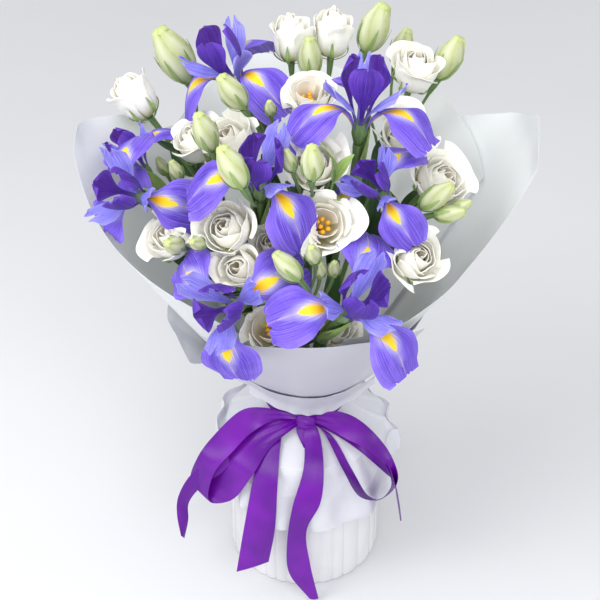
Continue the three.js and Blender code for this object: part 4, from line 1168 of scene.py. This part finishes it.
def ribbon():
    """Strips between two edges, gathered where they leave the knot, with the band and the knot."""
    made = Build()
    for n, (name, stations) in enumerate(RIBBON_STRIPS.items()):
        t = np.linspace(0, 1, 10 * (len(stations) - 1) + 1)
        left = curve_through([on_skirt(*s[:3]) for s in stations], t)
        right = curve_through([on_skirt(*s[3:]) for s in stations], t)
        s = np.linspace(0, 1, STRIP_COLUMNS)[None, :, None]
        p = left[:, None] * (1 - s) + right[:, None] * s
        normal = unit(np.cross(np.gradient(p, axis=0), np.gradient(p, axis=1)))
        near = np.exp(-((t / 0.12) ** 2))
        near = (near + (np.exp(-(((1 - t) / 0.12) ** 2)) if "loop" in name else 0))[:, None]
        gather = 0.9 * np.cos(np.linspace(0, 5 * np.pi, STRIP_COLUMNS))[None, :] * near
        bow = 0.9 * np.sin(np.pi * np.linspace(0, 1, STRIP_COLUMNS))[None, :] * (1 - near)
        p = p + normal * (gather + bow)[..., None]
        made.grid(p, 0, n / len(RIBBON_STRIPS), STRIP)
    angle = round_angles(120)
    z = np.linspace(0, 1, 9)[:, None]
    r = BAND_RADIUS + 0.9 * np.cos(z * 5 * np.pi + 0.4 * np.sin(3 * angle))
    height = BAND_FOOT + BAND_HEIGHT * z + 0.6 * np.sin(2 * angle + 1) * (1 - z)
    made.grid(polar(r, angle, height)[::-1], 0, 0.4, BAND, ring=True)
    lat = np.linspace(-0.49, 0.49, 19)[:, None] * np.pi
    lon = round_angles(48)
    pleat = 1 + 0.07 * np.cos(9 * lon + 1.2 * np.sin(2 * lat))
    x, y, high = KNOT_CENTRE
    knot = np.stack([
        x + KNOT_LONG * np.sin(lat) * (1 + 0 * lon),
        y + KNOT_DEEP * np.cos(lat) * pleat * np.sin(lon),
        high + KNOT_LONG * np.cos(lat) * pleat * np.cos(lon),
    ], -1)
    made.rings(knot[:, ::-1], 0, 0.6)
    return made.piece("ribbon_bow", [SATIN], ["ribbon"], "ribbon", 60)


# ---------------- the assembly

places = tie_places([iris[0] for iris in IRISES] + [spray[0]["at"] for spray in SPRAYS])

vase()
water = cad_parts["water"]
water.data.materials.clear()
water.data.materials.append(water_material())


for index, name in enumerate(SHEETS):
    film, flat = wrap_sheet(name, index)
    crowd.add(film)
paper_wrap()
bow = ribbon()

for i, iris in enumerate(IRISES, 1):
    crowd.add(iris_bloom(i, iris))
    crowd.add(iris_stem(i, iris, places[i - 1]))
for i, spray in enumerate(SPRAYS, 1):
    crowd.add(spray_stem(i, spray, places[len(IRISES) + i - 1]))
heads = [head for spray in SPRAYS for head in spray if "height" in head]
for i, head in enumerate(heads, 1):
    crowd.add(lisianthus_bloom(i, head))

# ---------------- floor, light and camera


FLOOR_HALF = 4  # metres
floor_shade = Shade("pale_floor", 0.6)
floor_tones = (0.3, rgb(219, 220, 223)), (0.7, rgb(224, 225, 227))
floor_tint = floor_shade.ramp(floor_shade.noise(2.0), *floor_tones)
floor_shade.fill(floor_shade.shader, {"Base Color": floor_tint})
mesh = bpy.data.meshes.new("floor")
square = [(-1, -1), (1, -1), (1, 1), (-1, 1)]
mesh.from_pydata([(x * FLOOR_HALF, y * FLOOR_HALF, 0) for x, y in square], [], [(0, 1, 2, 3)])
mesh.materials.append(floor_shade.material)
floor = add_object("floor", mesh)


def area_light(name, place, target, size, power):
    """A round soft light; places and its diameter are in metres."""
    light = bpy.data.lights.new(name, "AREA")
    light.shape, light.size, light.energy = "DISK", size, power
    obj = add_object(name, light)
    obj.location = place
    look = np.array(target) - np.array(place)
    obj.rotation_euler = Vector(look).to_track_quat("-Z", "Y").to_euler()


area_light("key", (-1.2, -0.8, 1.6), (0, 0, 0.3), 1.0, 13)
area_light("fill", (0.25, -1.45, 1.4), (0, 0, 0.3), 1.4, 16)
area_light("low", (-1.5, -1.0, 0.35), (0, 0, 0.25), 1.0, 3)
area_light("top", (-0.2, -0.25, 1.25), (0, 0, 0.4), 0.7, 3.0)
SKY_COLOUR, SKY_STRENGTH = (0.97, 0.98, 1.0, 1), 0.76
world = bpy.data.worlds.new("studio")
world.use_nodes = True
background = world.node_tree.nodes["Background"]
background.inputs["Color"].default_value = SKY_COLOUR
background.inputs["Strength"].default_value = SKY_STRENGTH
bpy.context.scene.world = world
bpy.context.scene.view_settings.view_transform = "Standard"

EYE_PLACE, EYE_DOWN, LENS = (-0.0045, -1.131, 1.131), 36.7, 95.4  # metres, degrees, millimetres
camera = bpy.data.cameras.new("camera")
camera.sensor_width = 36.0
camera.lens = LENS
camera.clip_end = 20
eye = add_object("camera", camera)
eye.location = EYE_PLACE
eye.rotation_euler = (math.radians(90 - EYE_DOWN), 0, 0)
bpy.context.scene.camera = eye
